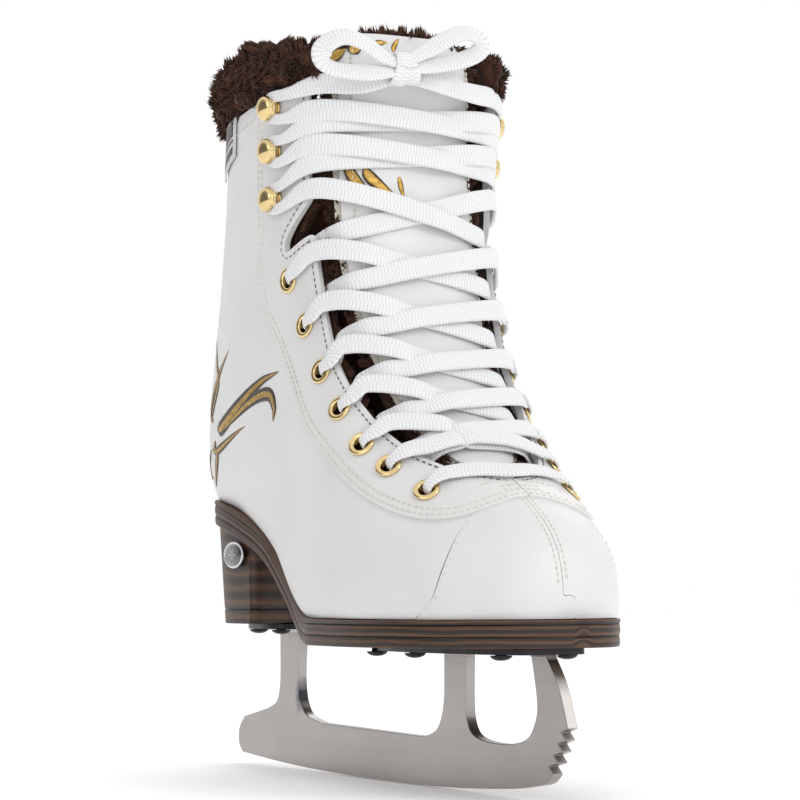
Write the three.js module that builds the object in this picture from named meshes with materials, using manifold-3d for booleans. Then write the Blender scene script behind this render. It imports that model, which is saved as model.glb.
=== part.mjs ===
// Figure skate for the right foot: lined leather boot, stacked heel and sole, steel blade.
// Millimetres, +Z up, toe towards -Y, the wearer's right towards -X.
// The origin is the lowest point of the blade, in the middle of its thickness.
import * as THREE from 'three';
import { mergeVertices } from 'three/addons/utils/BufferGeometryUtils.js';
import Module from 'manifold-3d';

const wasm = await Module();
wasm.setup();

// ---------------------------------------------------------------- driving dimensions
const GAP = 0.3; // air kept between pieces that touch

const LEATHER = 1.8; // upper panels
const STAY_RISE = 0.9; // the lace stay stands this proud of the panels beside it
const STIFFENER = 1.1; // toe puff and heel counter
const TUCK = 1; // room between the leather and what is tucked in behind it
const LINING_CLEAR = 0.7; // room between the stiffeners and the lining
const LINING_DEPTH = LEATHER + TUCK + STIFFENER + LINING_CLEAR; // from the outside of the leather
const LINING = 2.9; // plush lining
const ROW_STEP = 0.5; // stations between the rows of facets
const SOLE_STEP = 8; // length between the facets of everything that follows the sole
const SEAM = 0.008; // half gap between panels, radians round a section
const SHAFT_TOP = 17; // station of the top edge of the leather
const VAMP_SEAM = 4.45; // station where the toe panels meet the quarters and the stays
const THROAT = 5.15; // station of the front end of the lacing opening

const SOLE = 9.5; // whole sole, measured downwards
const WELT = 1.6;
const MIDSOLE = 3.7;
const BOARD_RISE = 0.8; // underside of the insole board above the sole
const BOARD = 2.2;
const FOOTBED = 3.2;
const FOREFOOT_TOP = 60.8; // top of the sole under the ball of the foot
const SEAT_TOP = FOREFOOT_TOP + 47; // top of the sole under the heel
const DRAWN_AT = 60.8; // the boot's points below are given for this height of the forefoot
const RAISED = FOREFOOT_TOP - DRAWN_AT;

const HEEL_FLOOR = FOREFOOT_TOP - 2.8; // underside of the heel
const LIFT = 5.5; // rubber lift under the heel
const HEEL_TAPER = 0.92; // plan of the heel's underside against its top

const PLATE = 2; // mounting plates of the blade
const SOLE_PLATE = { front: -117, rear: -8, halfFront: 14, halfBall: 20, halfRear: 15 };
const HEEL_PLATE = { front: 67, rear: 107, half: 17 };

const BLADE = 4; // blade thickness
const FACET = 12; // half length of the flat at the lowest point
const ROCKER_REAR = 1700;
const ROCKER_FRONT = 1100;
const RUNNER_TOP = 18.4; // top of the runner between the uprights
const TAIL = 134;
const PICK = -127.5; // foremost point of the toe pick
const PICK_TEETH = 5;
const REAR_UPRIGHT = [75, 94];
const MID_UPRIGHT = [-59, -43];
const FRONT_UPRIGHT = [-114, -104];

const SCREW = 4;
const SCREW_HEAD = 8;
const HEAD_RISE = 1.8;
const SCREW_CLEAR = 0.35;
const SCREW_LENGTH = 9;
const HOLE_LOW = FOREFOOT_TOP - SOLE - 2 * PLATE - 2; // the screw holes are bored from below here
const SOLE_SCREWS = [[16, -18], [17.5, -50], [13, -103]];
const HEEL_SCREWS = [[11, 74], [9, 99]];

const EYELET = 5.2; // outer radius of an eyelet
const EYELET_BORE = 2.7;
const EYELET_WALL = 0.5;
const EYELET_RISE = 0.8;
const HOOK = 4.8; // radius of a hook's lip
const HOOK_THROAT = 2.9; // room for the lace under the lip
const HOOK_PLATE = 0.8;
const HOOK_NECK = 2.5; // from a hook's middle to its neck, on the side of the opening

const LACE_WIDTH = 8;
const LACE = 2; // lace thickness
const LACE_PINCHED = 4.4; // width of the lace where it bunches up in an eyelet or a hook

const BADGE = {
  x: -30.2, y: 74, z: 85 + RAISED, lean: 0.03, length: 19, height: 10.5, thick: 1.4, rim: 1.2,
  rimRise: 0.7,
};
const CUFF = { out: 8, back: 7.5, up: 12.5, from: 0.62 };
const TONGUE = { half: 27, base: 5.8, top: 18.7, cover: 1.5, pad: 4.8, lining: 3 };

// ---------------------------------------------------------------- the last
// The boot is a row of sections from the toe (station 0) up to the top of the tongue.
// Each section lies in a plane through X. It runs from a point on the front or top of the
// boot to a point on the bottom or back of it. half is its greatest half width, out its
// shift towards the left, widest where it is widest (-1 at the bottom, 1 at the top), and
// round the two exponents of its outline, top and bottom.
const STATIONS = [
  { top: [-122, 67.6], low: [-122, 67.4], half: 0.1, out: 5, widest: -0.2, round: [2.2, 2.4] },
  { top: [-120.6, 77], low: [-120.6, 57], half: 12, out: 5, widest: -0.2, round: [2.2, 2.8] },
  { top: [-117, 86], low: [-117, 54], half: 19.5, out: 4.5, widest: -0.25, round: [2.2, 3] },
  { top: [-109, 94.5], low: [-109, 53], half: 27, out: 3.5, widest: -0.3, round: [2.2, 3.2] },
  { top: [-97, 102.5], low: [-97, 52], half: 35.5, out: 2, widest: -0.35, round: [2.2, 3.2] },
  { top: [-82, 111.5], low: [-80, 52], half: 42.5, out: 1, widest: -0.4, round: [2.2, 3.2] },
  { top: [-67, 122.5], low: [-60, 52], half: 46.5, out: -0.5, widest: -0.4, round: [2.3, 3.2] },
  { top: [-53, 136], low: [-38, 52], half: 47.5, out: -1.5, widest: -0.35, round: [2.5, 3.2] },
  { top: [-42, 152], low: [-14, 51], half: 45.5, out: -2, widest: -0.25, round: [2.8, 3.1] },
  { top: [-33, 169], low: [14, 55], half: 43, out: -1.5, widest: -0.1, round: [3, 2.8] },
  { top: [-27, 186], low: [46, 77], half: 42, out: -0.5, widest: 0, round: [3.3, 2.6] },
  { top: [-23, 201], low: [81, 91], half: 42, out: 0, widest: 0.1, round: [3.6, 2.5] },
  { top: [-20.5, 213], low: [109, 98], half: 43, out: 0, widest: 0.15, round: [3.8, 2.45] },
  { top: [-19, 224], low: [114, 115], half: 43.5, out: 0, widest: 0.15, round: [4, 2.35] },
  { top: [-18, 234], low: [110.5, 140], half: 43.5, out: 0, widest: 0.15, round: [4, 2.2] },
  { top: [-18, 243], low: [102, 168], half: 44, out: 0, widest: 0.1, round: [4, 2.1] },
  { top: [-18, 251], low: [93, 205], half: 45, out: 0, widest: 0.1, round: [4, 2.1] },
  { top: [-18, 259], low: [86, 246], half: 46, out: 0, widest: 0.1, round: [4, 2.1] },
  { top: [-17, 270], low: [85, 260], half: 46, out: 0, widest: 0.1, round: [3.6, 2.1] },
  { top: [-15, 281], low: [85, 273], half: 45, out: 0, widest: 0.1, round: [3.2, 2.1] },
].map(({ top, low, half, out, widest, round }) => [
  top[0], top[1] + RAISED, low[0], low[1] + RAISED, half, out, widest, ...round,
]);

// Smooth interpolation through a row of equally spaced values.
function smooth(a, b, c, d, t) {
  const rise = (c - a) / 2;
  const fall = (d - b) / 2;
  const t2 = t * t;
  const t3 = t2 * t;
  return (2 * t3 - 3 * t2 + 1) * b + (t3 - 2 * t2 + t) * rise
    + (3 * t2 - 2 * t3) * c + (t3 - t2) * fall;
}

function section(s) {
  const last = STATIONS.length - 1;
  const held = Math.min(Math.max(s, 0), last);
  const i = Math.min(Math.floor(held), last - 1);
  const t = held - i;
  const b = STATIONS[i];
  const c = STATIONS[i + 1];
  return b.map((value, k) => {
    const before = i > 0 ? STATIONS[i - 1][k] : 2 * value - c[k];
    const after = i + 2 <= last ? STATIONS[i + 2][k] : 2 * c[k] - value;
    return smooth(before, value, c[k], after, t);
  });
}

// A point on the outside of the last. angle is 0 at the top of the section, positive on the
// left side (+X), negative on the right side, and pi at the bottom or back.
function onLast(s, angle) {
  const [ty, tz, ly, lz, half, out, widest, roundTop, roundLow] = section(s);
  const c = Math.cos(angle);
  const n = c > 0 ? roundTop : roundLow;
  const r = (Math.abs(c) ** n + Math.abs(Math.sin(angle)) ** n) ** (-1 / n);
  const q = widest + (c > 0 ? 1 - widest : 1 + widest) * r * c;
  return new THREE.Vector3(
    out + half * r * Math.sin(angle),
    (ty + ly) / 2 + q * (ty - ly) / 2,
    (tz + lz) / 2 + q * (tz - lz) / 2,
  );
}

function lastNormal(s, angle) {
  const ds = 0.02;
  const da = 0.02;
  const s0 = Math.max(s - ds, 0);
  const along = onLast(s + ds, angle).sub(onLast(s0, angle));
  const round = onLast(s, angle + da).sub(onLast(s, angle - da));
  return round.cross(along).normalize();
}

// offset is measured outwards from the outside of the leather.
function onBoot(s, angle, offset) {
  return onLast(s, angle).addScaledVector(lastNormal(s, angle), offset);
}

// Values given at a few stations, joined by straight lines.
function table(points) {
  return (x) => {
    const k = points.findIndex(([at]) => at >= x);
    if (k === 0) return points[0][1];
    if (k < 0) return points[points.length - 1][1];
    const [x0, y0] = points[k - 1];
    const [x1, y1] = points[k];
    return y0 + (y1 - y0) * (x - x0) / (x1 - x0);
  };
}

function angleAtX(s, x) {
  const side = x < 0 ? -1 : 1;
  let low = 0;
  let high = Math.PI / 2;
  for (let i = 0; i < 30; i += 1) {
    const mid = (low + high) / 2;
    if (side * onLast(s, side * mid).x < side * x) low = mid;
    else high = mid;
  }
  return side * (low + high) / 2;
}

// ---------------------------------------------------------------- lines on the boot
// Half width of the lacing opening along the stations, with a round front end and a
// scallop between the lowest hook and the highest eyelet.
const openingHalf = table([
  [5, 15], [6, 23.5], [7, 28.3], [8, 31.3], [9, 33.5], [10, 35.4], [11, 36.3], [13, 37.2],
  [15, 38], [17, 38.5], [19, 38.5],
]);
const OPENING_ROUND = 0.6; // stations over which the front end closes
const SCALLOP = { at: 12.75, depth: 5.5, length: 0.42 };

function openingX(s) {
  const t = Math.min(Math.max((s - THROAT) / OPENING_ROUND, 0), 1);
  const front = Math.sqrt(1 - (1 - t) ** 2);
  const scallop = SCALLOP.depth * Math.exp(-(((s - SCALLOP.at) / SCALLOP.length) ** 2));
  return openingHalf(s) * front + scallop;
}

const openingAngle = (s) => Math.max(angleAtX(s, openingX(s)), SEAM);
const stayAngle = table([
  [4.45, 0.62], [4.62, 0.78], [5, 0.9], [6, 0.97], [7.8, 1.03], [9.5, 1.2], [11.2, 1.3],
  [12.2, 1.28], [19, 1.3],
]);
const BACKSTAY = 0.28; // half width of the backstay, radians
const BACKSTAY_LOW = 12; // its lowest station

const EYELETS = [
  [5.19, 0.69], [6.21, 0.74], [7.02, 0.8], [8.04, 0.85], [9.13, 0.94], [10.22, 1.01],
  [11.51, 1.05],
];
const HOOKS = [[14.16, 1.09], [15.57, 1.09], [16.6, 1.09]];

// Top of the sole: flat under the ball, rising through the waist to the heel seat.
const SOLE_LINE = new THREE.CatmullRomCurve3([
  [-150, FOREFOOT_TOP], [-60, FOREFOOT_TOP], [-14, FOREFOOT_TOP], [6, FOREFOOT_TOP + 3.4],
  [27, FOREFOOT_TOP + 17], [46, FOREFOOT_TOP + 30.6], [64, FOREFOOT_TOP + 38.4], [84, SEAT_TOP - 3],
  [104, SEAT_TOP], [130, SEAT_TOP + 0.4],
].map(([y, z]) => new THREE.Vector3(0, y, z)), false, 'centripetal').getPoints(150);

const soleCurve = table(SOLE_LINE.map(({ y, z }) => [y, z]));
const soleTop = (y) => Math.max(soleCurve(y), FOREFOOT_TOP);

// Plan of the sole at the welt, from the toe round the right side to the heel and back.
const SOLE_PLAN = [
  [5, -124.8], [-9, -122.4], [-18, -117.5], [-27, -108], [-36, -95], [-43, -77], [-46, -58],
  [-46, -38], [-43.5, -16], [-38.5, 0], [-34.5, 16], [-32.5, 32], [-32, 50], [-32.5, 72],
  [-31.5, 88], [-27.5, 101], [-17.5, 111], [0, 116],
  [17.5, 111], [27.5, 101], [31.5, 88], [32.5, 72], [32, 50], [32.5, 32], [34, 16],
  [36.5, 0], [40.5, -16], [43.5, -38], [45, -58], [43.5, -79], [37.5, -97], [31, -109],
  [23, -118.5], [15, -123.4],
];

// ---------------------------------------------------------------- mesh helpers
function bare(geometry) {
  const copy = geometry.clone();
  Object.keys(copy.attributes).filter((name) => name !== 'position')
    .forEach((name) => copy.deleteAttribute(name));
  return mergeVertices(copy, 1e-4);
}

function solid(geometry) {
  const welded = bare(geometry);
  const index = welded.index.array;
  const kept = [];
  for (let i = 0; i < index.length; i += 3) {
    const [a, b, c] = [index[i], index[i + 1], index[i + 2]];
    if (a !== b && b !== c && c !== a) kept.push(a, b, c);
  }
  return new wasm.Manifold(new wasm.Mesh({
    numProp: 3,
    vertProperties: new Float32Array(welded.attributes.position.array),
    triVerts: new Uint32Array(kept),
  }));
}

function toGeometry(manifold) {
  const mesh = manifold.getMesh();
  const geometry = new THREE.BufferGeometry();
  geometry.setAttribute('position', new THREE.BufferAttribute(new Float32Array(mesh.vertProperties), 3));
  geometry.setIndex([...mesh.triVerts]);
  return geometry;
}

function signedVolume(positions, index) {
  let total = 0;
  const [a, b, c] = [new THREE.Vector3(), new THREE.Vector3(), new THREE.Vector3()];
  for (let i = 0; i < index.length; i += 3) {
    a.fromArray(positions, index[i] * 3);
    b.fromArray(positions, index[i + 1] * 3);
    c.fromArray(positions, index[i + 2] * 3);
    total += a.dot(b.cross(c));
  }
  return total;
}

function fromQuads(points, quads) {
  const positions = points.flatMap((p) => [p.x, p.y, p.z]);
  const index = quads.flatMap(([a, b, c, d]) => [a, b, c, a, c, d]);
  if (signedVolume(positions, index) < 0) index.reverse();
  const geometry = new THREE.BufferGeometry();
  geometry.setAttribute('position', new THREE.Float32BufferAttribute(positions, 3));
  geometry.setIndex(index);
  return geometry;
}

// A curved plate between two skins. at(u, v, side) gives the point on the outer (side 1) or
// inner (side 0) skin, with u and v from 0 to 1.
function plateBetween(rows, columns, at) {
  const points = [];
  const quads = [];
  const wide = columns + 1;
  const number = (side, i, j) => side * (rows + 1) * wide + i * wide + j;
  [0, 1].forEach((side) => {
    for (let i = 0; i <= rows; i += 1) {
      for (let j = 0; j <= columns; j += 1) points.push(at(i / rows, j / columns, side));
    }
  });
  for (let i = 0; i < rows; i += 1) {
    for (let j = 0; j < columns; j += 1) {
      quads.push([number(1, i, j), number(1, i, j + 1), number(1, i + 1, j + 1), number(1, i + 1, j)]);
      quads.push([number(0, i + 1, j), number(0, i + 1, j + 1), number(0, i, j + 1), number(0, i, j)]);
    }
    [0, columns].forEach((j) => {
      const wall = [number(0, i, j), number(1, i, j), number(1, i + 1, j), number(0, i + 1, j)];
      quads.push(j ? wall.reverse() : wall);
    });
  }
  for (let j = 0; j < columns; j += 1) {
    [0, rows].forEach((i) => {
      const wall = [number(0, i, j + 1), number(1, i, j + 1), number(1, i, j), number(0, i, j)];
      quads.push(i ? wall.reverse() : wall);
    });
  }
  return fromQuads(points, quads);
}

// Closed body through rings of equal size, with flat ends.
function loft(rings) {
  const size = rings[0].length;
  const points = rings.flat();
  const quads = [];
  for (let i = 0; i + 1 < rings.length; i += 1) {
    for (let j = 0; j < size; j += 1) {
      const next = (j + 1) % size;
      quads.push([i * size + j, i * size + next, (i + 1) * size + next, (i + 1) * size + j]);
    }
  }
  const caps = [0, rings.length - 1].map((i) => {
    const middle = rings[i].reduce((sum, p) => sum.add(p), new THREE.Vector3()).divideScalar(size);
    points.push(middle);
    return [i * size, points.length - 1];
  });
  const positions = points.flatMap((p) => [p.x, p.y, p.z]);
  const index = quads.flatMap(([a, b, c, d]) => [a, b, c, a, c, d]);
  caps.forEach(([start, middle], end) => {
    for (let j = 0; j < size; j += 1) {
      const edge = [start + j, start + ((j + 1) % size)];
      index.push(...(end ? edge : edge.reverse()), middle);
    }
  });
  if (signedVolume(positions, index) < 0) index.reverse();
  const geometry = new THREE.BufferGeometry();
  geometry.setAttribute('position', new THREE.Float32BufferAttribute(positions, 3));
  geometry.setIndex(index);
  return geometry;
}

// The multiples of a step between two ends, and the ends. Pieces that lie on each other share
// their rows this way, so their facets stay parallel.
function rowsBetween(from, to, step) {
  const rows = [from];
  for (let k = Math.ceil(from / step); k * step < to - step * 0.2; k += 1) {
    if (k * step > from + step * 0.2) rows.push(k * step);
  }
  return [...rows, to];
}

// A panel of the boot between two stations, two edge lines and two offsets.
function panel(from, to, columns, firstEdge, lastEdge, outer, inner) {
  const rows = rowsBetween(from, to, ROW_STEP);
  return plateBetween(rows.length - 1, columns, (u, v, side) => {
    const s = rows[Math.round(u * (rows.length - 1))];
    const a = firstEdge(s);
    return onBoot(s, a + (lastEdge(s) - a) * v, side ? outer : inner);
  });
}

// The (y, z) outline pushed along X.
const SIDEWAYS = new THREE.Matrix4().set(0, 0, 1, 0, 1, 0, 0, 0, 0, 1, 0, 0, 0, 0, 0, 1);

function acrossX(shape, from, to, curveSegments = 6) {
  return new THREE.ExtrudeGeometry(shape, { depth: to - from, bevelEnabled: false, curveSegments })
    .translate(0, 0, from).applyMatrix4(SIDEWAYS);
}

function upZ(shape, from, to, curveSegments = 6) {
  return new THREE.ExtrudeGeometry(shape, { depth: to - from, bevelEnabled: false, curveSegments })
    .translate(0, 0, from);
}

const shapeOf = (points) => new THREE.Shape(points.map(([x, y]) => new THREE.Vector2(x, y)));

function roundOutline(points, steps) {
  const curve = new THREE.CatmullRomCurve3(
    points.map(([x, y]) => new THREE.Vector3(x, y, 0)), true, 'centripetal');
  return curve.getPoints(steps).slice(0, -1).map(({ x, y }) => [x, y]);
}

// Everything between two heights above the top of the sole, from y0 to y1.
function soleSlab(low, high, y0 = -135, y1 = 125) {
  const line = rowsBetween(y0, y1, SOLE_STEP);
  const outline = [
    ...line.map((y) => [y, Number.isFinite(low) ? soleTop(y) + low : -10]),
    ...line.reverse().map((y) => [y, Number.isFinite(high) ? soleTop(y) + high : 400]),
  ];
  return solid(acrossX(shapeOf(outline), -80, 80));
}

function cylinder(radius, z0, z1, x = 0, y = 0, sides = 16) {
  return new THREE.CylinderGeometry(radius, radius, z1 - z0, sides)
    .rotateX(Math.PI / 2).translate(x, y, (z0 + z1) / 2);
}

// Moves a piece drawn at the origin, with +Z outwards, to a place on the boot. Its +X points
// round the boot away from the opening, and its +Y up along the boot.
function bootFrame(s, angle) {
  const out = lastNormal(s, angle);
  const up = onLast(s + 0.05, angle).sub(onLast(s - 0.05, angle));
  up.addScaledVector(out, -up.dot(out)).normalize();
  const round = up.clone().cross(out);
  return new THREE.Matrix4().makeBasis(round, up, out).setPosition(onLast(s, angle));
}

// ---------------------------------------------------------------- materials and assembly
const paint = (color, roughness, metalness = 0) =>
  new THREE.MeshStandardMaterial({ color, roughness, metalness });
const WHITE_LEATHER = paint(0xf4f3f2, 0.45);
const PLUSH = paint(0x3c1f14, 0.95);
const FIBREBOARD = paint(0x8a7055, 0.8);
const STIFF_FELT = paint(0x9a938a, 0.9);
const FOAM = paint(0xcfc8b8, 0.95);
const STACKED = paint(0x3a2118, 0.5);
const RUBBER = paint(0x1c1512, 0.8);
const STEEL = paint(0xa8a29d, 0.3, 1);
const DARK_STEEL = paint(0x3a3a3c, 0.4, 1);
const BRASS = paint(0xc09a4a, 0.2, 1);
const BADGE_BLACK = paint(0x101012, 0.3);
const COTTON = paint(0xf2f3f6, 0.85);
const LABEL = paint(0xe7e7e7, 0.7);

const skate = new THREE.Group();
function add(name, geometry, material) {
  const mesh = new THREE.Mesh(geometry, material);
  mesh.name = name;
  skate.add(mesh);
}

const SIDES = [['right', -1], ['left', 1]];
const belowUpper = soleSlab(-Infinity, BOARD_RISE - GAP);
const belowLining = soleSlab(-Infinity, BOARD_RISE + BOARD + GAP);

// ---------------------------------------------------------------- leather upper
function leatherPanels() {
  const [, , , , , tipX] = section(0);
  const tipSlot = solid(new THREE.BoxGeometry(2 * GAP, 8, 40).translate(tipX, -122, FOREFOOT_TOP + 9.2));
  SIDES.forEach(([side, sign]) => {
    const seamAngle = (s) => sign * Math.min(SEAM * 22 / Math.max(section(s)[4], 0.1), 0.6);
    const toe = panel(0, VAMP_SEAM - 0.02, 9, seamAngle, () => sign * (Math.PI - 0.01), 0, -LEATHER);
    add(`toe_panel_${side}`, toGeometry(solid(toe).subtract(belowUpper).subtract(tipSlot)), WHITE_LEATHER);

    const back = (s) => sign * (s < BACKSTAY_LOW ? Math.PI - SEAM : Math.PI - BACKSTAY - SEAM);
    const front = (s) => sign * (stayAngle(s) + SEAM);
    const quarter = panel(VAMP_SEAM + 0.02, SHAFT_TOP, 7, front, back, 0, -LEATHER);
    add(`quarter_${side}`, toGeometry(solid(quarter).subtract(belowUpper)), WHITE_LEATHER);

    const stay = panel(VAMP_SEAM + 0.02, SHAFT_TOP, 3, (s) => sign * openingAngle(s),
      (s) => sign * (stayAngle(s) - SEAM), STAY_RISE, -LEATHER);
    const holes = EYELETS.map(([s, angle]) => solid(
      cylinder(EYELET_BORE + EYELET_WALL + GAP, -6, 4, 0, 0, 12).applyMatrix4(bootFrame(s, sign * angle))));
    const punched = holes.reduce((body, hole) => body.subtract(hole), solid(stay));
    add(`lace_stay_${side}`, toGeometry(punched), WHITE_LEATHER);
  });
  const backstay = panel(BACKSTAY_LOW + 0.03, SHAFT_TOP, 3, () => Math.PI - BACKSTAY + SEAM,
    () => Math.PI + BACKSTAY - SEAM, STAY_RISE, -LEATHER);
  add('backstay', toGeometry(solid(backstay).subtract(belowUpper)), WHITE_LEATHER);
}

// ---------------------------------------------------------------- inside the boot
function lastSolid(from, offset) {
  const around = 24;
  const rings = rowsBetween(from, SHAFT_TOP, ROW_STEP).map((s) => Array.from(
    { length: around }, (_, j) => onBoot(s, 2 * Math.PI * j / around, offset)));
  return solid(loft(rings));
}

function boardsAndLining() {
  const stiffOuter = -LEATHER - TUCK;
  const puff = panel(0.7, 3.6, 12, () => -2.2, () => 2.2, stiffOuter, stiffOuter - STIFFENER);
  add('toe_puff', toGeometry(solid(puff).subtract(belowLining)), STIFF_FELT);
  const counterEdge = table([[11.9, 2], [12.6, 1.9], [14.4, 2.5]]);
  const counter = panel(11.9, 14.4, 12, counterEdge, (s) => 2 * Math.PI - counterEdge(s),
    stiffOuter, stiffOuter - STIFFENER);
  add('heel_counter', toGeometry(solid(counter).subtract(belowLining)), STIFF_FELT);

  const toeLining = panel(1, THROAT - 0.03, 14, () => -2.7, () => 2.7, -LINING_DEPTH, -LINING_DEPTH - LINING);
  add('toe_lining', toGeometry(solid(toeLining).subtract(belowLining)), PLUSH);
  const lining = panel(THROAT + 0.03, SHAFT_TOP, 18, (s) => Math.max(openingAngle(s), 0.05),
    (s) => 2 * Math.PI - Math.max(openingAngle(s), 0.05), -LINING_DEPTH, -LINING_DEPTH - LINING);
  add('shaft_lining', toGeometry(solid(lining).subtract(belowLining)), PLUSH);

  const shankRoom = solid(acrossX(slabOutline(BOARD_RISE - 1, BOARD_RISE + 1.2, -30, 92), -6.5, 6.5));
  const board = lastSolid(0.9, -LEATHER - 1.5 * TUCK).intersect(soleSlab(BOARD_RISE, BOARD_RISE + BOARD));
  add('insole_board', toGeometry(board.subtract(shankRoom)), FIBREBOARD);
  add('shank', acrossX(slabOutline(BOARD_RISE - 0.5, BOARD_RISE + 0.9, -29, 91), -6, 6), DARK_STEEL);
  const footbedLow = BOARD_RISE + BOARD + GAP;
  const footbed = lastSolid(1.4, -LINING_DEPTH - LINING - 2 * GAP)
    .intersect(soleSlab(footbedLow, footbedLow + FOOTBED));
  add('footbed', toGeometry(footbed), PLUSH);
}

function slabOutline(low, high, y0, y1) {
  const line = rowsBetween(y0, y1, SOLE_STEP);
  return shapeOf([
    ...line.map((y) => [y, soleTop(y) + low]),
    ...line.reverse().map((y) => [y, soleTop(y) + high]),
  ]);
}

// ---------------------------------------------------------------- cuff and label
function cuffAndLabel() {
  const around = 26;
  const sides = 10;
  const reach = openingAngle(SHAFT_TOP) + CUFF.from - 0.5;
  const rings = Array.from({ length: around + 1 }, (_, i) => {
    const angle = reach + (2 * Math.PI - 2 * reach) * i / around;
    const edge = onLast(SHAFT_TOP, angle);
    const out = lastNormal(SHAFT_TOP, angle);
    const up = new THREE.Vector3(0, -0.125, 0.992);
    out.addScaledVector(up, -out.dot(up)).normalize();
    const taper = Math.min(1, 0.55 + 3 * Math.min(i, around - i) / around);
    return Array.from({ length: sides }, (_unused, j) => {
      const turn = 2 * Math.PI * j / sides;
      const sideways = Math.cos(turn) > 0 ? CUFF.out : CUFF.back;
      return edge.clone().addScaledVector(out, Math.cos(turn) * sideways * taper - 1)
        .addScaledVector(up, (1 + Math.sin(turn)) * CUFF.up * taper + 2 * GAP);
    });
  });
  add('fur_cuff', loft(rings), PLUSH);
  const label = panel(15.85, SHAFT_TOP, 3, () => -2.02, () => -1.78, 1.1, 0.4);
  add('side_label', label, LABEL);
}

// ---------------------------------------------------------------- tongue
const tongueEdge = (s, spare) => Math.min(TONGUE.half + spare, openingX(Math.min(s, 11.5)) - 9 + spare);

function tongue() {
  const layer = (name, spare, outer, thick, shorter, material) => {
    const top = TONGUE.top + shorter;
    const taper = (s) => tongueEdge(s, spare) * Math.sqrt(1 - Math.max(0, (s - 17.2) / 2.1) ** 3);
    add(name, panel(TONGUE.base, top, 6, (s) => angleAtX(s, -taper(s)), (s) => angleAtX(s, taper(s)),
      outer, outer - thick), material);
  };
  const padTop = -0.5 - TONGUE.cover - 2 * GAP;
  layer('tongue_cover', 0, -0.5, TONGUE.cover, 0, WHITE_LEATHER);
  layer('tongue_padding', 3, padTop, TONGUE.pad, 0.1, FOAM);
  layer('tongue_lining', 4, padTop - TONGUE.pad - 2 * GAP, TONGUE.lining, 0.25, PLUSH);
}

// ---------------------------------------------------------------- eyelets and hooks
function eyeletsAndHooks() {
  const seat = STAY_RISE + GAP;
  const barrel = EYELET_BORE + EYELET_WALL;
  const ring = [
    [EYELET_BORE, -LEATHER - GAP], [barrel, -LEATHER - GAP], [barrel, seat], [EYELET, seat],
    [EYELET_BORE + 0.9, seat + EYELET_RISE], [EYELET_BORE, seat + 0.3], [EYELET_BORE, -LEATHER - GAP],
  ].map(([r, z]) => new THREE.Vector2(r, z));
  SIDES.forEach(([side, sign]) => {
    EYELETS.forEach(([s, angle], i) => {
      const geometry = new THREE.LatheGeometry(ring, 10).rotateX(Math.PI / 2);
      const body = solid(geometry.applyMatrix4(bootFrame(s, sign * angle)));
      add(`eyelet_${side}_${i + 1}`, toGeometry(body), BRASS);
    });
    const lipLow = seat + HOOK_PLATE + HOOK_THROAT;
    HOOKS.forEach(([s, angle], i) => {
      const base = solid(cylinder(HOOK - 0.4, seat, seat + HOOK_PLATE, 0, 0, 10));
      const neck = solid(new THREE.BoxGeometry(2, 2.6, HOOK_THROAT + 0.8)
        .translate(-HOOK_NECK * sign, 0, seat + HOOK_PLATE + HOOK_THROAT / 2));
      const lip = solid(cylinder(HOOK, lipLow, lipLow + HOOK_PLATE, 0, 0, 10));
      const body = base.add(neck).add(lip);
      add(`hook_${side}_${i + 1}`, toGeometry(body).applyMatrix4(bootFrame(s, sign * angle)), BRASS);
    });
  });
}

// ---------------------------------------------------------------- sole and heel
function screwHole(x, y, z0, z1) {
  return solid(cylinder(SCREW / 2 + SCREW_CLEAR, z0, z1, x, y, 12));
}

const bothSides = (places) => places.flatMap(([x, y]) => [[-x, y], [x, y]]);

function soleAndHeel() {
  const plan = solid(upZ(shapeOf(roundOutline(SOLE_PLAN, 56)), -5, 150));
  const holes = bothSides(SOLE_SCREWS).map(([x, y]) => screwHole(x, y, HOLE_LOW, FOREFOOT_TOP - 2));
  const drilled = (body) => holes.reduce((rest, hole) => rest.subtract(hole), body);
  const midLow = -WELT - GAP - MIDSOLE;
  add('welt', toGeometry(plan.intersect(soleSlab(-WELT, 0))), STACKED);
  add('midsole', toGeometry(drilled(plan.intersect(soleSlab(midLow, -WELT - GAP)))), STACKED);
  add('outsole', toGeometry(drilled(plan.intersect(soleSlab(-SOLE, midLow - GAP)))), STACKED);

  const heelTop = [[-31, 61], [-31, 75], [-30, 88], [-26, 101], [-16, 111], [0, 115.2],
    [16, 111], [26, 101], [30, 88], [31, 75], [31, 61], [0, 62.5]];
  const topHeight = SEAT_TOP + 2;
  const ringAt = (z) => {
    const low = (topHeight - z) / (topHeight - HEEL_FLOOR);
    const scale = 1 - (1 - HEEL_TAPER) * low;
    const breast = (y) => (y < 70 ? 4 * low : 0); // the heel's front face leans back
    return heelTop.map(([x, y]) => new THREE.Vector3(x * scale, 70 + (y - 70) * scale + breast(y), z));
  };
  const heelHoles = bothSides(HEEL_SCREWS).map(
    ([x, y]) => screwHole(x, y, HOLE_LOW, HEEL_FLOOR + SCREW_LENGTH));
  const bored = (body) => heelHoles.reduce((rest, hole) => rest.subtract(hole), body);
  const liftTop = HEEL_FLOOR + LIFT;
  const block = solid(loft([ringAt(liftTop + GAP), ringAt(topHeight)]))
    .subtract(soleSlab(-SOLE - GAP, Infinity));
  add('heel_block', toGeometry(bored(block)), STACKED);
  add('heel_lift', toGeometry(bored(solid(loft([ringAt(HEEL_FLOOR), ringAt(liftTop)])))), RUBBER);
}

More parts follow.
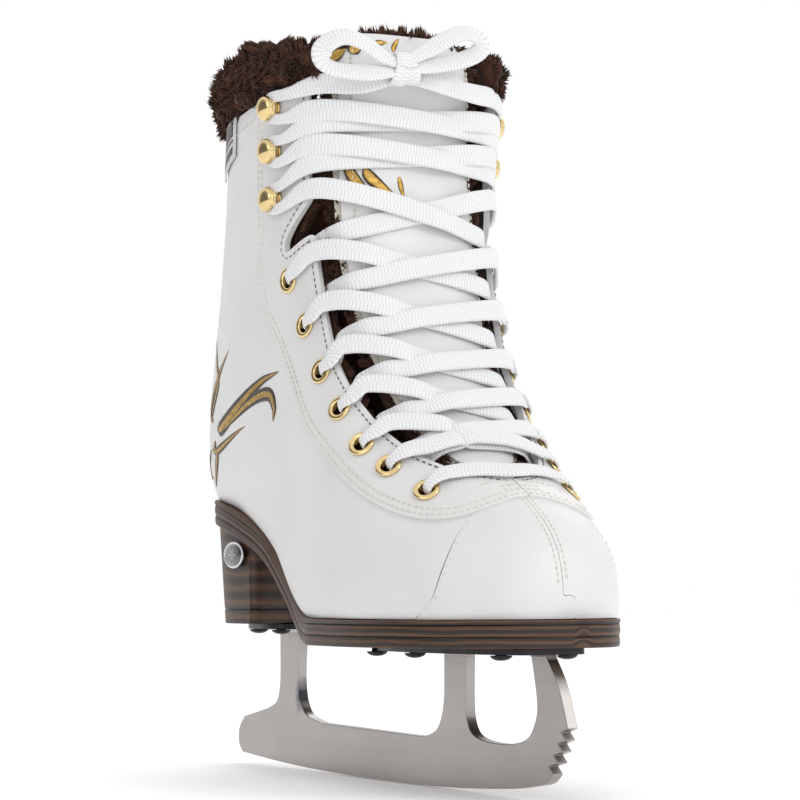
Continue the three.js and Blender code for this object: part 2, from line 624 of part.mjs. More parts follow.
function badge() {
  const oval = new THREE.Shape();
  oval.absellipse(0, 0, BADGE.length / 2, BADGE.height / 2, 0, 2 * Math.PI);
  const rim = new THREE.Shape();
  rim.absellipse(0, 0, BADGE.length / 2, BADGE.height / 2, 0, 2 * Math.PI);
  const inside = new THREE.Path();
  inside.absellipse(0, 0, BADGE.length / 2 - BADGE.rim, BADGE.height / 2 - BADGE.rim, 0, 2 * Math.PI);
  rim.holes.push(inside);
  const face = new THREE.Matrix4().makeBasis(
    new THREE.Vector3(-BADGE.lean, -1, 0).normalize(), new THREE.Vector3(0, 0, 1),
    new THREE.Vector3(-1, BADGE.lean, 0).normalize()).setPosition(BADGE.x, BADGE.y, BADGE.z);
  const plate = solid(upZ(oval, 0, BADGE.thick, 10));
  const edge = solid(upZ(rim, BADGE.thick - 0.1, BADGE.thick + BADGE.rimRise, 10));
  add('badge', toGeometry(plate.add(edge)).applyMatrix4(face), BADGE_BLACK);
}

// ---------------------------------------------------------------- blade and its plates
function runnerLow(y) {
  const past = Math.max(Math.abs(y) - FACET, 0);
  return past ** 2 / (2 * (y > 0 ? ROCKER_REAR : ROCKER_FRONT));
}

function bladeOutline() {
  const solePlateLow = FOREFOOT_TOP - SOLE - GAP - PLATE;
  const heelPlateLow = HEEL_FLOOR - GAP - PLATE;
  const shape = new THREE.Shape();
  const through = (points) => shape.splineThru(points.map(([y, z]) => new THREE.Vector2(y, z)));
  shape.moveTo(-FACET, 0);
  shape.lineTo(FACET, 0);
  [30, 50, 70, 90, 110].forEach((y) => shape.lineTo(y, runnerLow(y)));
  shape.lineTo(TAIL - 3, runnerLow(TAIL - 3));
  through([[TAIL + 0.5, 8], [TAIL, 14], [TAIL - 5, 19]]);
  shape.lineTo(REAR_UPRIGHT[1] + 12, 23.2);
  through([[REAR_UPRIGHT[1] + 3.5, 26.4], [REAR_UPRIGHT[1] + 0.6, 33], [REAR_UPRIGHT[1], 41]]);
  shape.lineTo(REAR_UPRIGHT[1], heelPlateLow - GAP);
  shape.lineTo(REAR_UPRIGHT[0], heelPlateLow - GAP);
  through([[REAR_UPRIGHT[0] + 2, 45], [REAR_UPRIGHT[0] + 2.4, 35], [REAR_UPRIGHT[0] + 0.5, 27],
    [REAR_UPRIGHT[0] - 5, 21.8], [REAR_UPRIGHT[0] - 18, RUNNER_TOP + 0.7]]);
  shape.lineTo(MID_UPRIGHT[1] + 20, RUNNER_TOP - 0.6);
  through([[MID_UPRIGHT[1] + 13, RUNNER_TOP], [MID_UPRIGHT[1] + 6, 21], [MID_UPRIGHT[1] + 2, 26.5],
    [MID_UPRIGHT[1] + 0.3, 34]]);
  shape.lineTo(MID_UPRIGHT[1], solePlateLow - GAP);
  shape.lineTo(MID_UPRIGHT[0], solePlateLow - GAP);
  through([[MID_UPRIGHT[0] + 0.4, 32], [MID_UPRIGHT[0] - 1, 24], [MID_UPRIGHT[0] - 6, 19.6],
    [MID_UPRIGHT[0] - 18, RUNNER_TOP - 0.5], [MID_UPRIGHT[0] - 32, RUNNER_TOP - 0.2],
    [FRONT_UPRIGHT[1] + 3, 20.6], [FRONT_UPRIGHT[1] - 2, 26], [FRONT_UPRIGHT[1] - 3.5, 33],
    [FRONT_UPRIGHT[1], solePlateLow - GAP]]);
  shape.lineTo(FRONT_UPRIGHT[0], solePlateLow - GAP);
  through([[-121, 40], [-124.8, 32], [PICK, 24.8]]);
  const low = [-118, 9.2];
  for (let i = 1; i <= PICK_TEETH - 1; i += 1) {
    const t = i / (PICK_TEETH - 1);
    const tip = [PICK + (low[0] - PICK) * t ** 1.4, 24.8 + (low[1] - 24.8) * t];
    shape.lineTo(tip[0] + 3, tip[1] + 2.6);
    shape.lineTo(tip[0], tip[1]);
  }
  through([[-113, 6], [-104, 4.4], [-92, 2.9], [-75, 1.8]]);
  [-50, -30].forEach((y) => shape.lineTo(y, runnerLow(y)));
  return shape;
}

function bladeAndPlates() {
  add('blade', acrossX(bladeOutline(), -BLADE / 2, BLADE / 2, 4), STEEL);
  const { front, rear, halfFront, halfBall, halfRear } = SOLE_PLATE;
  const solePlan = roundOutline([[0, front], [-halfFront + 3, front + 0.5], [-halfFront, front + 5],
    [-halfBall, front + 42], [-halfBall, rear - 28], [-halfRear, rear - 6],
    [-halfRear + 5, rear - 0.5], [0, rear],
    [halfRear - 5, rear - 0.5], [halfRear, rear - 6], [halfBall, rear - 28], [halfBall, front + 42],
    [halfFront, front + 5], [halfFront - 3, front + 0.5]], 42);
  const plateTop = FOREFOOT_TOP - SOLE - GAP;
  const drill = (body, places) => places.reduce(
    (rest, [x, y]) => rest.subtract(screwHole(x, y, HOLE_LOW, FOREFOOT_TOP)), body);
  const solePlate = solid(upZ(shapeOf(solePlan), plateTop - PLATE, plateTop));
  add('sole_plate', toGeometry(drill(solePlate, bothSides(SOLE_SCREWS))), DARK_STEEL);
  const { front: hf, rear: hr, half } = HEEL_PLATE;
  const heelPlan = roundOutline([[0, hf], [-half + 2, hf + 0.3], [-half, hf + 4], [-half, hf + 16],
    [-half + 4, hr - 7], [0, hr], [half - 4, hr - 7], [half, hf + 16], [half, hf + 4],
    [half - 2, hf + 0.3]], 36);
  const heelPlateTop = HEEL_FLOOR - GAP;
  const heelPlate = solid(upZ(shapeOf(heelPlan), heelPlateTop - PLATE, heelPlateTop));
  add('heel_plate', toGeometry(drill(heelPlate, bothSides(HEEL_SCREWS))), DARK_STEEL);

  const screw = (name, x, y, seat, length) => {
    const profile = [[0, -HEAD_RISE], [SCREW_HEAD * 0.3, -HEAD_RISE + 0.2],
      [SCREW_HEAD / 2, 0], [SCREW / 2, 0], [SCREW / 2, length], [0, length + 0.8]]
      .map(([r, z]) => new THREE.Vector2(r, z));
    const geometry = new THREE.LatheGeometry(profile, 10).rotateX(Math.PI / 2).translate(x, y, seat);
    add(name, toGeometry(solid(geometry)), DARK_STEEL);
  };
  const soleSeat = plateTop - PLATE - GAP;
  const heelSeat = heelPlateTop - PLATE - GAP;
  const inSole = SCREW_LENGTH - 1;
  bothSides(SOLE_SCREWS).forEach(([x, y], i) => screw(`sole_screw_${i + 1}`, x, y, soleSeat, inSole));
  bothSides(HEEL_SCREWS).forEach(([x, y], i) => screw(`heel_screw_${i + 1}`, x, y, heelSeat, SCREW_LENGTH));
}

// ---------------------------------------------------------------- lace
const STAY_TOP = STAY_RISE + GAP;
const FLANGE_TOP = STAY_TOP + EYELET_RISE;
const HALF_WIDE = LACE_WIDTH / 2;
const HALF_PINCHED = LACE_PINCHED / 2;
const HOOK_REACH = 4.2; // from a hook's neck to the middle of the lace round it
const KNOT = { x: -10, y: -29.5, z: 262 + RAISED, half: [5.5, 4.5, 7] };

// One point of the lace: where it is, which way is out of the boot there, half its width and
// its thickness there.
const lacePoint = (place, out, half, thick) => ({ place, out, half, thick });

function laceOnBoot(s, angle, offset, half, thick) {
  return lacePoint(onBoot(s, angle, offset), lastNormal(s, angle), half, thick);
}

// Down through an eyelet, from a little way on the side of the opening to under the stay.
function throughEyelet(index, side) {
  const [s, angle] = EYELETS[index];
  const frame = bootFrame(s, side * angle);
  const inward = -side;
  const at = (x, z, half, thick, turned) => {
    const place = new THREE.Vector3(inward * x, 0, z).applyMatrix4(frame);
    const out = new THREE.Vector3(turned ? -inward : 0, 0, turned ? 0 : 1).transformDirection(frame);
    return lacePoint(place, out, half, thick);
  };
  return [
    at(7, FLANGE_TOP + 1, 3.4, 1.7), at(3.4, FLANGE_TOP + 1.25, HALF_PINCHED, 1.4),
    at(0.5, FLANGE_TOP + 0.2, HALF_PINCHED - 0.1, 1.3, true), at(0, 0, HALF_PINCHED - 0.1, 1.3, true),
    at(0.4, -LEATHER - 1, HALF_PINCHED - 0.1, 1.2, true), at(3.2, -LEATHER - 1.45, HALF_PINCHED, 1.2),
  ];
}

// Across the opening, from one side at station from to the other side at station to. lift is
// how high it runs over the tongue in the middle. Each stop gives how far inside the edge of
// the opening it is, how far out from the leather, half the width and the thickness.
const FROM_UNDER = [[-1, -LEATHER - 1.4, 3.2, 1.2], [2, -LEATHER - 0.7, 3.4, 1.2], [4.5, -0.5, 3.6, 1.3],
  [8, 1.1, 4, 1.7], [14, 1.1, 4, LACE]];
const FROM_HOOK = [[-4, STAY_TOP + 2.2, 2, LACE], [-1, STAY_TOP + 1.5, 3.6, LACE], [3, 2.2, 4, LACE],
  [8, 1.6, 4, LACE], [14, 1.2, 4, LACE]];
const TO_EYELET = [[14, 3.3, 4, LACE], [8, 3.2, 4, LACE], [3, 3, 4, LACE], [-1, STAY_TOP + 1.6, 3.8, LACE]];
const TO_HOOK = [...TO_EYELET, [-4, STAY_TOP + 2.2, 2, LACE]];

// The station at which the front of the boot, at the x that place gives, is at height z.
function stationAtHeight(z, place, lowest) {
  let low = lowest;
  let high = SHAFT_TOP;
  for (let i = 0; i < 20; i += 1) {
    const mid = (low + high) / 2;
    if (onLast(mid, angleAtX(mid, place(mid))).z < z) low = mid;
    else high = mid;
  }
  return low;
}

function acrossOpening(from, to, side, lift, starts, ends) {
  const wide = openingHalf(from) + openingHalf(to);
  const heightAt = (s, sign) => onLast(s, angleAtX(s, sign * openingHalf(s))).z;
  const rise = heightAt(to, -side) - heightAt(from, side);
  const lowest = Math.min(from, THROAT + 1); // clear of the front end of the opening
  const station = (share, place) => (share <= 0 || share >= 1
    ? from + (to - from) * share
    : stationAtHeight(heightAt(from, side) + rise * share, place, lowest));
  const at = (inset, sign, [offset, half, thick]) => {
    const place = (s) => sign * (openingHalf(s) - inset);
    const s = station(sign === side ? inset / wide : 1 - inset / wide, place);
    return laceOnBoot(s, angleAtX(s, place(s)), offset, half, thick);
  };
  const middle = [0.36, 0.5, 0.64].map((share) => {
    const place = (s) => side * openingHalf(s) * (1 - 2 * share);
    const s = station(share, place);
    return laceOnBoot(s, angleAtX(s, place(s)), lift, HALF_WIDE, LACE);
  });
  return [
    ...starts.map(([inset, ...rest]) => at(inset, side, rest)),
    ...middle,
    ...ends.map(([inset, ...rest]) => at(inset, -side, rest)),
  ];
}

function roundHook(index, side) {
  const [s, angle] = HOOKS[index];
  const frame = bootFrame(s, side * angle);
  const height = STAY_TOP + HOOK_PLATE + HOOK_THROAT / 2;
  const out = new THREE.Vector3(0, 0, 1).transformDirection(frame);
  return [-90, -45, 0, 45, 90].map((turn) => {
    const a = THREE.MathUtils.degToRad(turn);
    const x = side * (HOOK_REACH * Math.cos(a) - HOOK_NECK);
    const place = new THREE.Vector3(x, HOOK_REACH * Math.sin(a), height).applyMatrix4(frame);
    return lacePoint(place, out, HALF_PINCHED, LACE);
  });
}

// The station at which a strand crosses the edge of the opening to pass y above a hook.
function stationBeside(index, side, y) {
  const [s, angle] = HOOKS[index];
  const toHook = bootFrame(s, side * angle).invert();
  let low = s - 1.5;
  let high = s + 1;
  for (let i = 0; i < 24; i += 1) {
    const mid = (low + high) / 2;
    const x = side * (openingHalf(mid) + 4);
    if (onLast(mid, angleAtX(mid, x)).applyMatrix4(toHook).y < y) low = mid;
    else high = mid;
  }
  return low;
}

const OVER = 3.4; // offsets of the two strands where they cross over the tongue
const UNDER = 1;
const BESIDE = HOOK_REACH + 0.5; // from a hook's middle to the strand beside it

// From the lowest eyelet on one side, to and fro up to the knot.
function halfLace(firstSide) {
  let side = firstSide;
  const points = throughEyelet(0, side);
  for (let k = 0; k + 1 < EYELETS.length; k += 1) {
    const from = EYELETS[k][0] + (k === 0 ? 0.8 : 0.22);
    points.push(...acrossOpening(from, EYELETS[k + 1][0] - 0.1, side, side < 0 ? OVER : UNDER,
      FROM_UNDER, TO_EYELET));
    side = -side;
    points.push(...throughEyelet(k + 1, side));
  }
  const last = EYELETS[EYELETS.length - 1][0];
  const first = stationBeside(0, -side, -BESIDE);
  points.push(...acrossOpening(last + 0.22, first, side, side < 0 ? UNDER : OVER, FROM_UNDER, TO_HOOK));
  side = -side;
  points.push(...roundHook(0, side));
  for (let k = 0; k + 1 < HOOKS.length; k += 1) {
    const from = stationBeside(k, side, BESIDE);
    const to = stationBeside(k + 1, -side, -BESIDE);
    points.push(...acrossOpening(from, to, side, side < 0 ? UNDER : OVER, FROM_HOOK, TO_HOOK));
    side = -side;
    points.push(...roundHook(k + 1, side));
  }
  return { points, side };
}

// The lace's outline at one of its points: a flat section across its direction.
function laceRing(points, i) {
  const before = points[Math.max(i - 1, 0)].place;
  const after = points[Math.min(i + 1, points.length - 1)].place;
  const along = after.clone().sub(before).normalize();
  const across = points[i].out.clone().cross(along).normalize();
  const face = along.clone().cross(across).normalize();
  return { across, face };
}

function ribbon(points) {
  let last = null;
  const rings = points.map((point, i) => {
    const { across, face } = laceRing(points, i);
    if (last && across.dot(last) < 0) {
      across.negate();
      face.negate();
    }
    last = across;
    return [[1, 1], [-1, 1], [-1, -1], [1, -1]].map(([a, b]) => point.place.clone()
      .addScaledVector(across, a * point.half).addScaledVector(face, b * point.thick / 2));
  });
  return loft(rings);
}

// The bow's points, chosen by hand: x, y, z of the middle of the lace.
const BOW_RIGHT = [
  [-11, -31, 263], [-19, -32, 265.5], [-28.5, -33, 270], [-37, -33, 271], [-43.5, -32, 267], [-44, -32, 262],
  [-39.5, -32, 259.3], [-30, -32, 258.8], [-20, -31.8, 259.8], [-11, -31, 261],
];
const BOW_LEFT = [
  [-10, -31, 264], [-2.5, -32, 268.5], [5, -33, 273], [13.5, -33, 277], [20.5, -32, 276], [21.5, -32, 271.5],
  [15, -32, 267.5], [4.5, -32, 264.6], [-5, -31.5, 262.8], [-10, -31, 262],
];

function lace() {
  const ends = [1, -1].map((side) => {
    const half = halfLace(side);
    const x = KNOT.x + half.side * (KNOT.half[0] + 0.8);
    const out = new THREE.Vector3(0, -1, 0.1).normalize();
    const tie = [
      ...[[-4, 3.2, 2.2], [-1, 2.7, 3.2], [4, 2.6, 4]].map(([inset, offset, halfWide]) => {
        const s = stationBeside(HOOKS.length - 1, half.side, BESIDE) + 0.02 * (inset + 4);
        const angle = angleAtX(s, half.side * (openingHalf(s) - inset));
        return laceOnBoot(s, angle, offset, halfWide, LACE);
      }),
      lacePoint(new THREE.Vector3(half.side * 24, -25, KNOT.z - 6), out, HALF_WIDE, LACE),
      lacePoint(new THREE.Vector3(x, KNOT.y + 2.5, KNOT.z - 6), out, HALF_PINCHED, LACE),
    ];
    return [...half.points, ...tie];
  });
  const bar = [-1, -0.5, 0, 0.5, 1].map((share) => {
    const [s, angle] = EYELETS[0];
    return laceOnBoot(s, angle * 0.68 * share, STAY_TOP + 1.5, HALF_WIDE - 0.6 * Math.abs(share), LACE);
  });
  // ends[0] starts on the left and ends[1] on the right; the bar joins them.
  add('lace', ribbon([...ends[1].reverse(), ...bar, ...ends[0]]), COTTON);

  const ball = new THREE.SphereGeometry(1, 10, 8).scale(...KNOT.half);
  const knot = solid(ball.translate(KNOT.x, KNOT.y, KNOT.z));
  const loops = [BOW_RIGHT, BOW_LEFT].map((bow) => solid(ribbon(bow.map(([x, y, z], i) => {
    const inKnot = i === 0 || i === bow.length - 1;
    return lacePoint(new THREE.Vector3(x, y, z + RAISED), new THREE.Vector3(0, -0.35, 1).normalize(),
      inKnot ? HALF_PINCHED : HALF_WIDE - 0.7, LACE);
  }))));
  add('lace_bow', toGeometry(knot.add(loops[0]).add(loops[1])), COTTON);
}

leatherPanels();
boardsAndLining();
cuffAndLabel();
tongue();
eyeletsAndHooks();
soleAndHeel();
badge();
bladeAndPlates();
lace();

export default skate;
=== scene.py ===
import math

import bmesh
import bpy
import numpy as np
from mathutils import Matrix, Vector


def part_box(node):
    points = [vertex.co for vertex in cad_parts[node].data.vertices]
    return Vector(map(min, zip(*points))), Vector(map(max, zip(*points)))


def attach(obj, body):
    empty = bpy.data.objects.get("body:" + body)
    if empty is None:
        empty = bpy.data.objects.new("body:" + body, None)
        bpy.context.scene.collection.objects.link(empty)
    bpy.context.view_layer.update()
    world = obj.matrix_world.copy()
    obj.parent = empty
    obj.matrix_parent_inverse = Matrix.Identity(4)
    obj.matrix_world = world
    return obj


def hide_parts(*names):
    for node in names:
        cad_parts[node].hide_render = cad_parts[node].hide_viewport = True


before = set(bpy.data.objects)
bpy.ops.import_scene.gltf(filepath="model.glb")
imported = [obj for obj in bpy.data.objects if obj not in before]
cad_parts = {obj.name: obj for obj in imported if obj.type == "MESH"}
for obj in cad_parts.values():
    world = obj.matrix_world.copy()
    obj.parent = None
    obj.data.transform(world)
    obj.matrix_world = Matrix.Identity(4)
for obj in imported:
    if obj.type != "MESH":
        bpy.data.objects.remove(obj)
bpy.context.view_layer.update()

MM = 0.001  # the sizes below are in millimetres, as in the design
RANDOM = np.random.default_rng(7)

# ---------------------------------------------------------------- camera, light and floor
AIM = Vector((0.0, -0.007, 0.1418))
EYE = Vector((-0.4695, -0.8899, 0.0728))
ROLL = math.radians(-0.4)
LENS = 120.6
SENSOR = 36


def camera():
    data = bpy.data.cameras.new("camera")
    data.lens = LENS
    data.sensor_width = SENSOR
    obj = bpy.data.objects.new("camera", data)
    obj.location = EYE
    turn = (AIM - EYE).to_track_quat("-Z", "Y").to_matrix()
    obj.rotation_euler = (turn @ Matrix.Rotation(ROLL, 3, "Z")).to_euler()
    bpy.context.scene.collection.objects.link(obj)
    bpy.context.scene.camera = obj


def lamp(name, place, aim, size, power):
    """A square area light of this size, in metres and watts, turned to its aim."""
    data = bpy.data.lights.new(name, "AREA")
    data.size = size
    data.energy = power
    obj = bpy.data.objects.new(name, data)
    obj.location = place
    obj.rotation_euler = (Vector(aim) - Vector(place)).to_track_quat("-Z", "Y").to_euler()
    bpy.context.scene.collection.objects.link(obj)


def studio():
    """A white studio with one darker stretch of wall, off to the boot's right."""
    bpy.context.scene.view_settings.view_transform = "Standard"
    world = bpy.data.worlds.new("studio")
    bpy.context.scene.world = world
    world.use_nodes = True
    tree = world.node_tree
    place = tree.nodes.new("ShaderNodeTexCoord").outputs["Generated"]
    toward = tree.nodes.new("ShaderNodeVectorMath")
    toward.operation = "DOT_PRODUCT"
    toward.inputs[1].default_value = (-0.93, 0.36, 0.02)
    tree.links.new(place, toward.inputs[0])
    ramp = tree.nodes.new("ShaderNodeValToRGB")
    ramp.color_ramp.interpolation = "EASE"
    ramp.color_ramp.elements[0].position = 0.62
    ramp.color_ramp.elements[0].color = (1, 1, 1, 1)
    ramp.color_ramp.elements[1].position = 0.93
    ramp.color_ramp.elements[1].color = (0.2, 0.2, 0.21, 1)
    tree.links.new(toward.outputs["Value"], ramp.inputs[0])
    tree.links.new(ramp.outputs[0], tree.nodes["Background"].inputs["Color"])
    middle = (0, 0, 0.14)
    lamp("key", (0.55, -1.25, 0.95), middle, 0.5, 3.2)
    lamp("side", (-1.1, -0.5, 0.7), middle, 0.5, 0.9)
    lamp("rim", (0.7, 0.8, 0.9), middle, 0.7, 2)
    bpy.ops.mesh.primitive_plane_add(size=8, location=(0, 0, -0.0004))
    floor = bpy.context.object
    floor.name = "floor"
    floor.data.materials.append(plain("floor", (0.97, 0.97, 0.97), 0.9, Emission_Color=(1, 1, 1, 1),
                                      Emission_Strength=0.15))


# ---------------------------------------------------------------- materials
def plain(name, color, roughness, metallic=0.0, **more):
    """A material with its shader's own settings; more names further sockets."""
    mat = bpy.data.materials.new(name)
    mat.use_nodes = True
    shader = mat.node_tree.nodes["Principled BSDF"]
    shader.inputs["Base Color"].default_value = (*color, 1)
    shader.inputs["Roughness"].default_value = roughness
    shader.inputs["Metallic"].default_value = metallic
    for socket, value in more.items():
        shader.inputs[socket.replace("_", " ")].default_value = value
    return mat


class Nodes:
    """Short calls for the nodes of one material."""

    def __init__(self, mat):
        self.tree = mat.node_tree
        self.shader = self.tree.nodes["Principled BSDF"]
        self.bump_chain = None

    def add(self, kind, inputs=None, **settings):
        node = self.tree.nodes.new("ShaderNode" + kind)
        for key, value in settings.items():
            setattr(node, key, value)
        for key, value in (inputs or {}).items():
            if isinstance(value, bpy.types.NodeSocket):
                self.tree.links.new(value, node.inputs[key])
            else:
                node.inputs[key].default_value = value
        return node

    def place(self):
        return self.add("TexCoord").outputs["Object"]

    def uv(self):
        return self.add("TexCoord").outputs["UV"]

    def noise(self, scale, detail=3.0, rough=0.5, at=None, stretch=None):
        vector = at or self.place()
        if stretch:
            vector = self.add("Mapping", {"Vector": vector, "Scale": stretch}).outputs[0]
        node = self.add("TexNoise", {"Vector": vector, "Scale": scale, "Detail": detail, "Roughness": rough})
        return node.outputs["Fac"]

    def cells(self, scale):
        return self.add("TexVoronoi", {"Vector": self.place(), "Scale": scale}).outputs["Distance"]

    def math(self, operation, a, b=0.0, c=0.0):
        return self.add("Math", {0: a, 1: b, 2: c}, operation=operation).outputs[0]

    def ramp(self, value, stops):
        node = self.add("ValToRGB", {"Fac": value})
        steps = node.color_ramp.elements
        while len(steps) < len(stops):
            steps.new(0.5)
        for step, (at, color) in zip(steps, stops, strict=True):
            step.position = at
            step.color = (*color, 1)
        return node.outputs["Color"]

    def color(self, value):
        self.tree.links.new(value, self.shader.inputs["Base Color"])

    def roughness(self, value, low, high):
        out = self.add("MapRange", {"Value": value, "To Min": low, "To Max": high}).outputs["Result"]
        self.tree.links.new(out, self.shader.inputs["Roughness"])

    def bump(self, height, strength, distance):
        inputs = {"Height": height, "Strength": strength, "Distance": distance * MM}
        if self.bump_chain:
            inputs["Normal"] = self.bump_chain
        self.bump_chain = self.add("Bump", inputs).outputs["Normal"]
        self.tree.links.new(self.bump_chain, self.shader.inputs["Normal"])


def leather_material(name, color, shade):
    """Smooth coated leather with a fine grain."""
    mat = plain(name, color, 0.42, Specular_IOR_Level=0.45)
    n = Nodes(mat)
    n.color(n.ramp(n.noise(28, 4), [(0.3, shade), (0.7, color)]))
    n.roughness(n.noise(60, 3), 0.36, 0.5)
    n.bump(n.cells(900), 0.12, 0.12)
    n.bump(n.noise(1500, 2), 0.1, 0.06)
    n.bump(n.noise(90, 3), 0.15, 0.25)
    return mat


def plush_material(name):
    """Brown pile, lighter at random."""
    mat = plain(name, (0.065, 0.022, 0.01), 0.95, Sheen_Weight=0.08, Sheen_Roughness=0.4)
    n = Nodes(mat)
    n.color(n.ramp(n.noise(220, 4, 0.6),
                   [(0.3, (0.024, 0.007, 0.003)), (0.55, (0.07, 0.023, 0.01)), (0.78, (0.17, 0.06, 0.026))]))
    n.bump(n.noise(900, 3), 0.6, 0.6)
    return mat


RIB_PITCH = 1.35
ROW_PITCH = 1.6


def lace_material():
    """Woven cotton with slanting ribs, grey in the grooves between them as painted shade. UV is (mm along, mm
    across).
    """
    mat = plain("woven_cotton", (0.82, 0.82, 0.825), 0.85, Sheen_Weight=0.05)
    n = Nodes(mat)
    parts = n.add("SeparateXYZ", {"Vector": n.uv()}).outputs
    across = n.math("ABSOLUTE", parts["Y"])
    diagonal = n.math("MULTIPLY_ADD", across, 0.8, parts["X"])
    slant = n.math("SINE", n.math("MULTIPLY", diagonal, 2 * math.pi / RIB_PITCH))
    rows = n.math("SINE", n.math("MULTIPLY", parts["Y"], 2 * math.pi / ROW_PITCH))
    weave_height_and_shade = n.math("MULTIPLY_ADD", n.math("MULTIPLY", slant, rows), 0.5, 0.5)
    # The colour follows the weave's height: its low grooves turn grey, painted shade in the hollows of the
    # weave.
    n.color(n.ramp(weave_height_and_shade, [(0.0, (0.56, 0.56, 0.58)), (0.4, (0.79, 0.79, 0.8)), (1.0, (0.86, 0.86, 0.865))]))
    n.bump(weave_height_and_shade, 0.6, 0.2)
    n.bump(n.noise(2500, 2), 0.2, 0.06)
    return mat


def stacked_material(name):
    """Layers of leather or wood seen from the edge. UV is (mm along, mm up)."""
    mat = plain(name, (0.034, 0.017, 0.009), 0.5, Coat_Weight=0.06, Coat_Roughness=0.35)
    n = Nodes(mat)
    wander = n.noise(0.035, 2, at=n.uv())
    v = n.add("SeparateXYZ", {"Vector": n.uv()}).outputs["Y"]
    height = n.math("MULTIPLY_ADD", wander, 1.6, v)
    band = n.math("SINE", n.math("MULTIPLY", height, 2 * math.pi / 2.35))
    grain = n.noise(1.0, 4, 0.6, at=n.add("Mapping", {"Vector": n.uv(), "Scale": (0.05, 2.4, 1)}).outputs[0])
    mixed = n.math("MULTIPLY_ADD", band, 0.28, grain)
    n.color(n.ramp(mixed, [(0.2, (0.009, 0.004, 0.002)), (0.5, (0.034, 0.014, 0.006)),
                           (0.8, (0.1, 0.046, 0.021))]))
    n.roughness(grain, 0.42, 0.62)
    n.bump(mixed, 0.3, 0.25)
    return mat


def steel_material():
    """Brushed steel, with a dark heat mark where the rear upright is brazed."""
    mat = plain("blade_steel", (0.4, 0.375, 0.36), 0.3, 1.0)
    n = Nodes(mat)
    n.roughness(n.noise(40, 4, stretch=(1, 0.3, 8)), 0.24, 0.38)
    tint = n.noise(12, 3)
    spot = n.add("VectorMath", {0: n.place(), 1: (0.0, 0.0765, 0.029)}, operation="SUBTRACT").outputs[0]
    flat = n.add("Mapping", {"Vector": spot, "Scale": (0, 1.1, 0.55)}).outputs[0]
    away = n.add("VectorMath", {0: flat}, operation="LENGTH").outputs["Value"]
    ragged = n.math("MULTIPLY_ADD", n.noise(260, 3), 0.004, away)
    steel = n.ramp(tint, [(0.3, (0.36, 0.335, 0.32)), (0.7, (0.44, 0.415, 0.4))])
    heat = n.ramp(n.math("MULTIPLY", ragged, 100), [(0.3, (0.2, 0.2, 0.26)), (0.62, (1, 1, 1))])
    mixed = n.add("Mix", {"Factor": 1.0}, data_type="RGBA", blend_type="MULTIPLY")
    n.tree.links.new(steel, mixed.inputs[6])
    n.tree.links.new(heat, mixed.inputs[7])
    n.color(mixed.outputs[2])
    n.bump(n.noise(900, 2, stretch=(1, 0.15, 1)), 0.06, 0.05)
    return mat


def noisy(name, color, roughness, metallic, scale, depth, vary=0.15, **more):
    """A material whose colour and roughness wander a little over the piece."""
    mat = plain(name, color, roughness, metallic, **more)
    n = Nodes(mat)
    dark = tuple(c * (1 - vary) for c in color)
    light = tuple(min(1.0, c * (1 + vary)) for c in color)
    n.color(n.ramp(n.noise(scale, 4), [(0.3, dark), (0.7, light)]))
    n.roughness(n.noise(scale * 2, 3), roughness * 0.85, min(1.0, roughness * 1.2))
    n.bump(n.noise(scale * 12, 3), 0.2, depth)
    return mat


# ---------------------------------------------------------------- the last, as in the design
STATIONS = np.array([
    # top y, z      low y, z     half   out  widest  round
    [-122, 67.6, -122, 67.4, 0.1, 5, -0.2, 2.2, 2.4],
    [-120.6, 77, -120.6, 57, 12, 5, -0.2, 2.2, 2.8],
    [-117, 86, -117, 54, 19.5, 4.5, -0.25, 2.2, 3],
    [-109, 94.5, -109, 53, 27, 3.5, -0.3, 2.2, 3.2],
    [-97, 102.5, -97, 52, 35.5, 2, -0.35, 2.2, 3.2],
    [-82, 111.5, -80, 52, 42.5, 1, -0.4, 2.2, 3.2],
    [-67, 122.5, -60, 52, 46.5, -0.5, -0.4, 2.3, 3.2],
    [-53, 136, -38, 52, 47.5, -1.5, -0.35, 2.5, 3.2],
    [-42, 152, -14, 51, 45.5, -2, -0.25, 2.8, 3.1],
    [-33, 169, 14, 55, 43, -1.5, -0.1, 3, 2.8],
    [-27, 186, 46, 77, 42, -0.5, 0, 3.3, 2.6],
    [-23, 201, 81, 91, 42, 0, 0.1, 3.6, 2.5],
    [-20.5, 213, 109, 98, 43, 0, 0.15, 3.8, 2.45],
    [-19, 224, 114, 115, 43.5, 0, 0.15, 4, 2.35],
    [-18, 234, 110.5, 140, 43.5, 0, 0.15, 4, 2.2],
    [-18, 243, 102, 168, 44, 0, 0.1, 4, 2.1],
    [-18, 251, 93, 205, 45, 0, 0.1, 4, 2.1],
    [-18, 259, 86, 246, 46, 0, 0.1, 4, 2.1],
    [-17, 270, 85, 260, 46, 0, 0.1, 3.6, 2.1],
    [-15, 281, 85, 273, 45, 0, 0.1, 3.2, 2.1],
])
SHAFT_TOP = 17
THROAT = 5.15
LEATHER = 1.8
STAY_RISE = 0.9
LINING_DEPTH = 4.6
LINING_PILE = 2.9
GAP = 0.3


def section(s):
    """The row of STATIONS at a station, smooth between the rows."""
    s = np.clip(np.asarray(s, float), 0, len(STATIONS) - 1)
    i = np.minimum(s.astype(int), len(STATIONS) - 2)
    t = (s - i)[..., None]
    b = STATIONS[i]
    c = STATIONS[i + 1]
    before = np.where(i[..., None] > 0, STATIONS[np.maximum(i - 1, 0)], 2 * b - c)
    after = np.where(i[..., None] + 2 < len(STATIONS), STATIONS[np.minimum(i + 2, len(STATIONS) - 1)],
                     2 * c - b)
    rise = (c - before) / 2
    fall = (after - b) / 2
    t2 = t * t
    t3 = t2 * t
    return ((2 * t3 - 3 * t2 + 1) * b + (t3 - 2 * t2 + t) * rise
            + (3 * t2 - 2 * t3) * c + (t3 - t2) * fall)


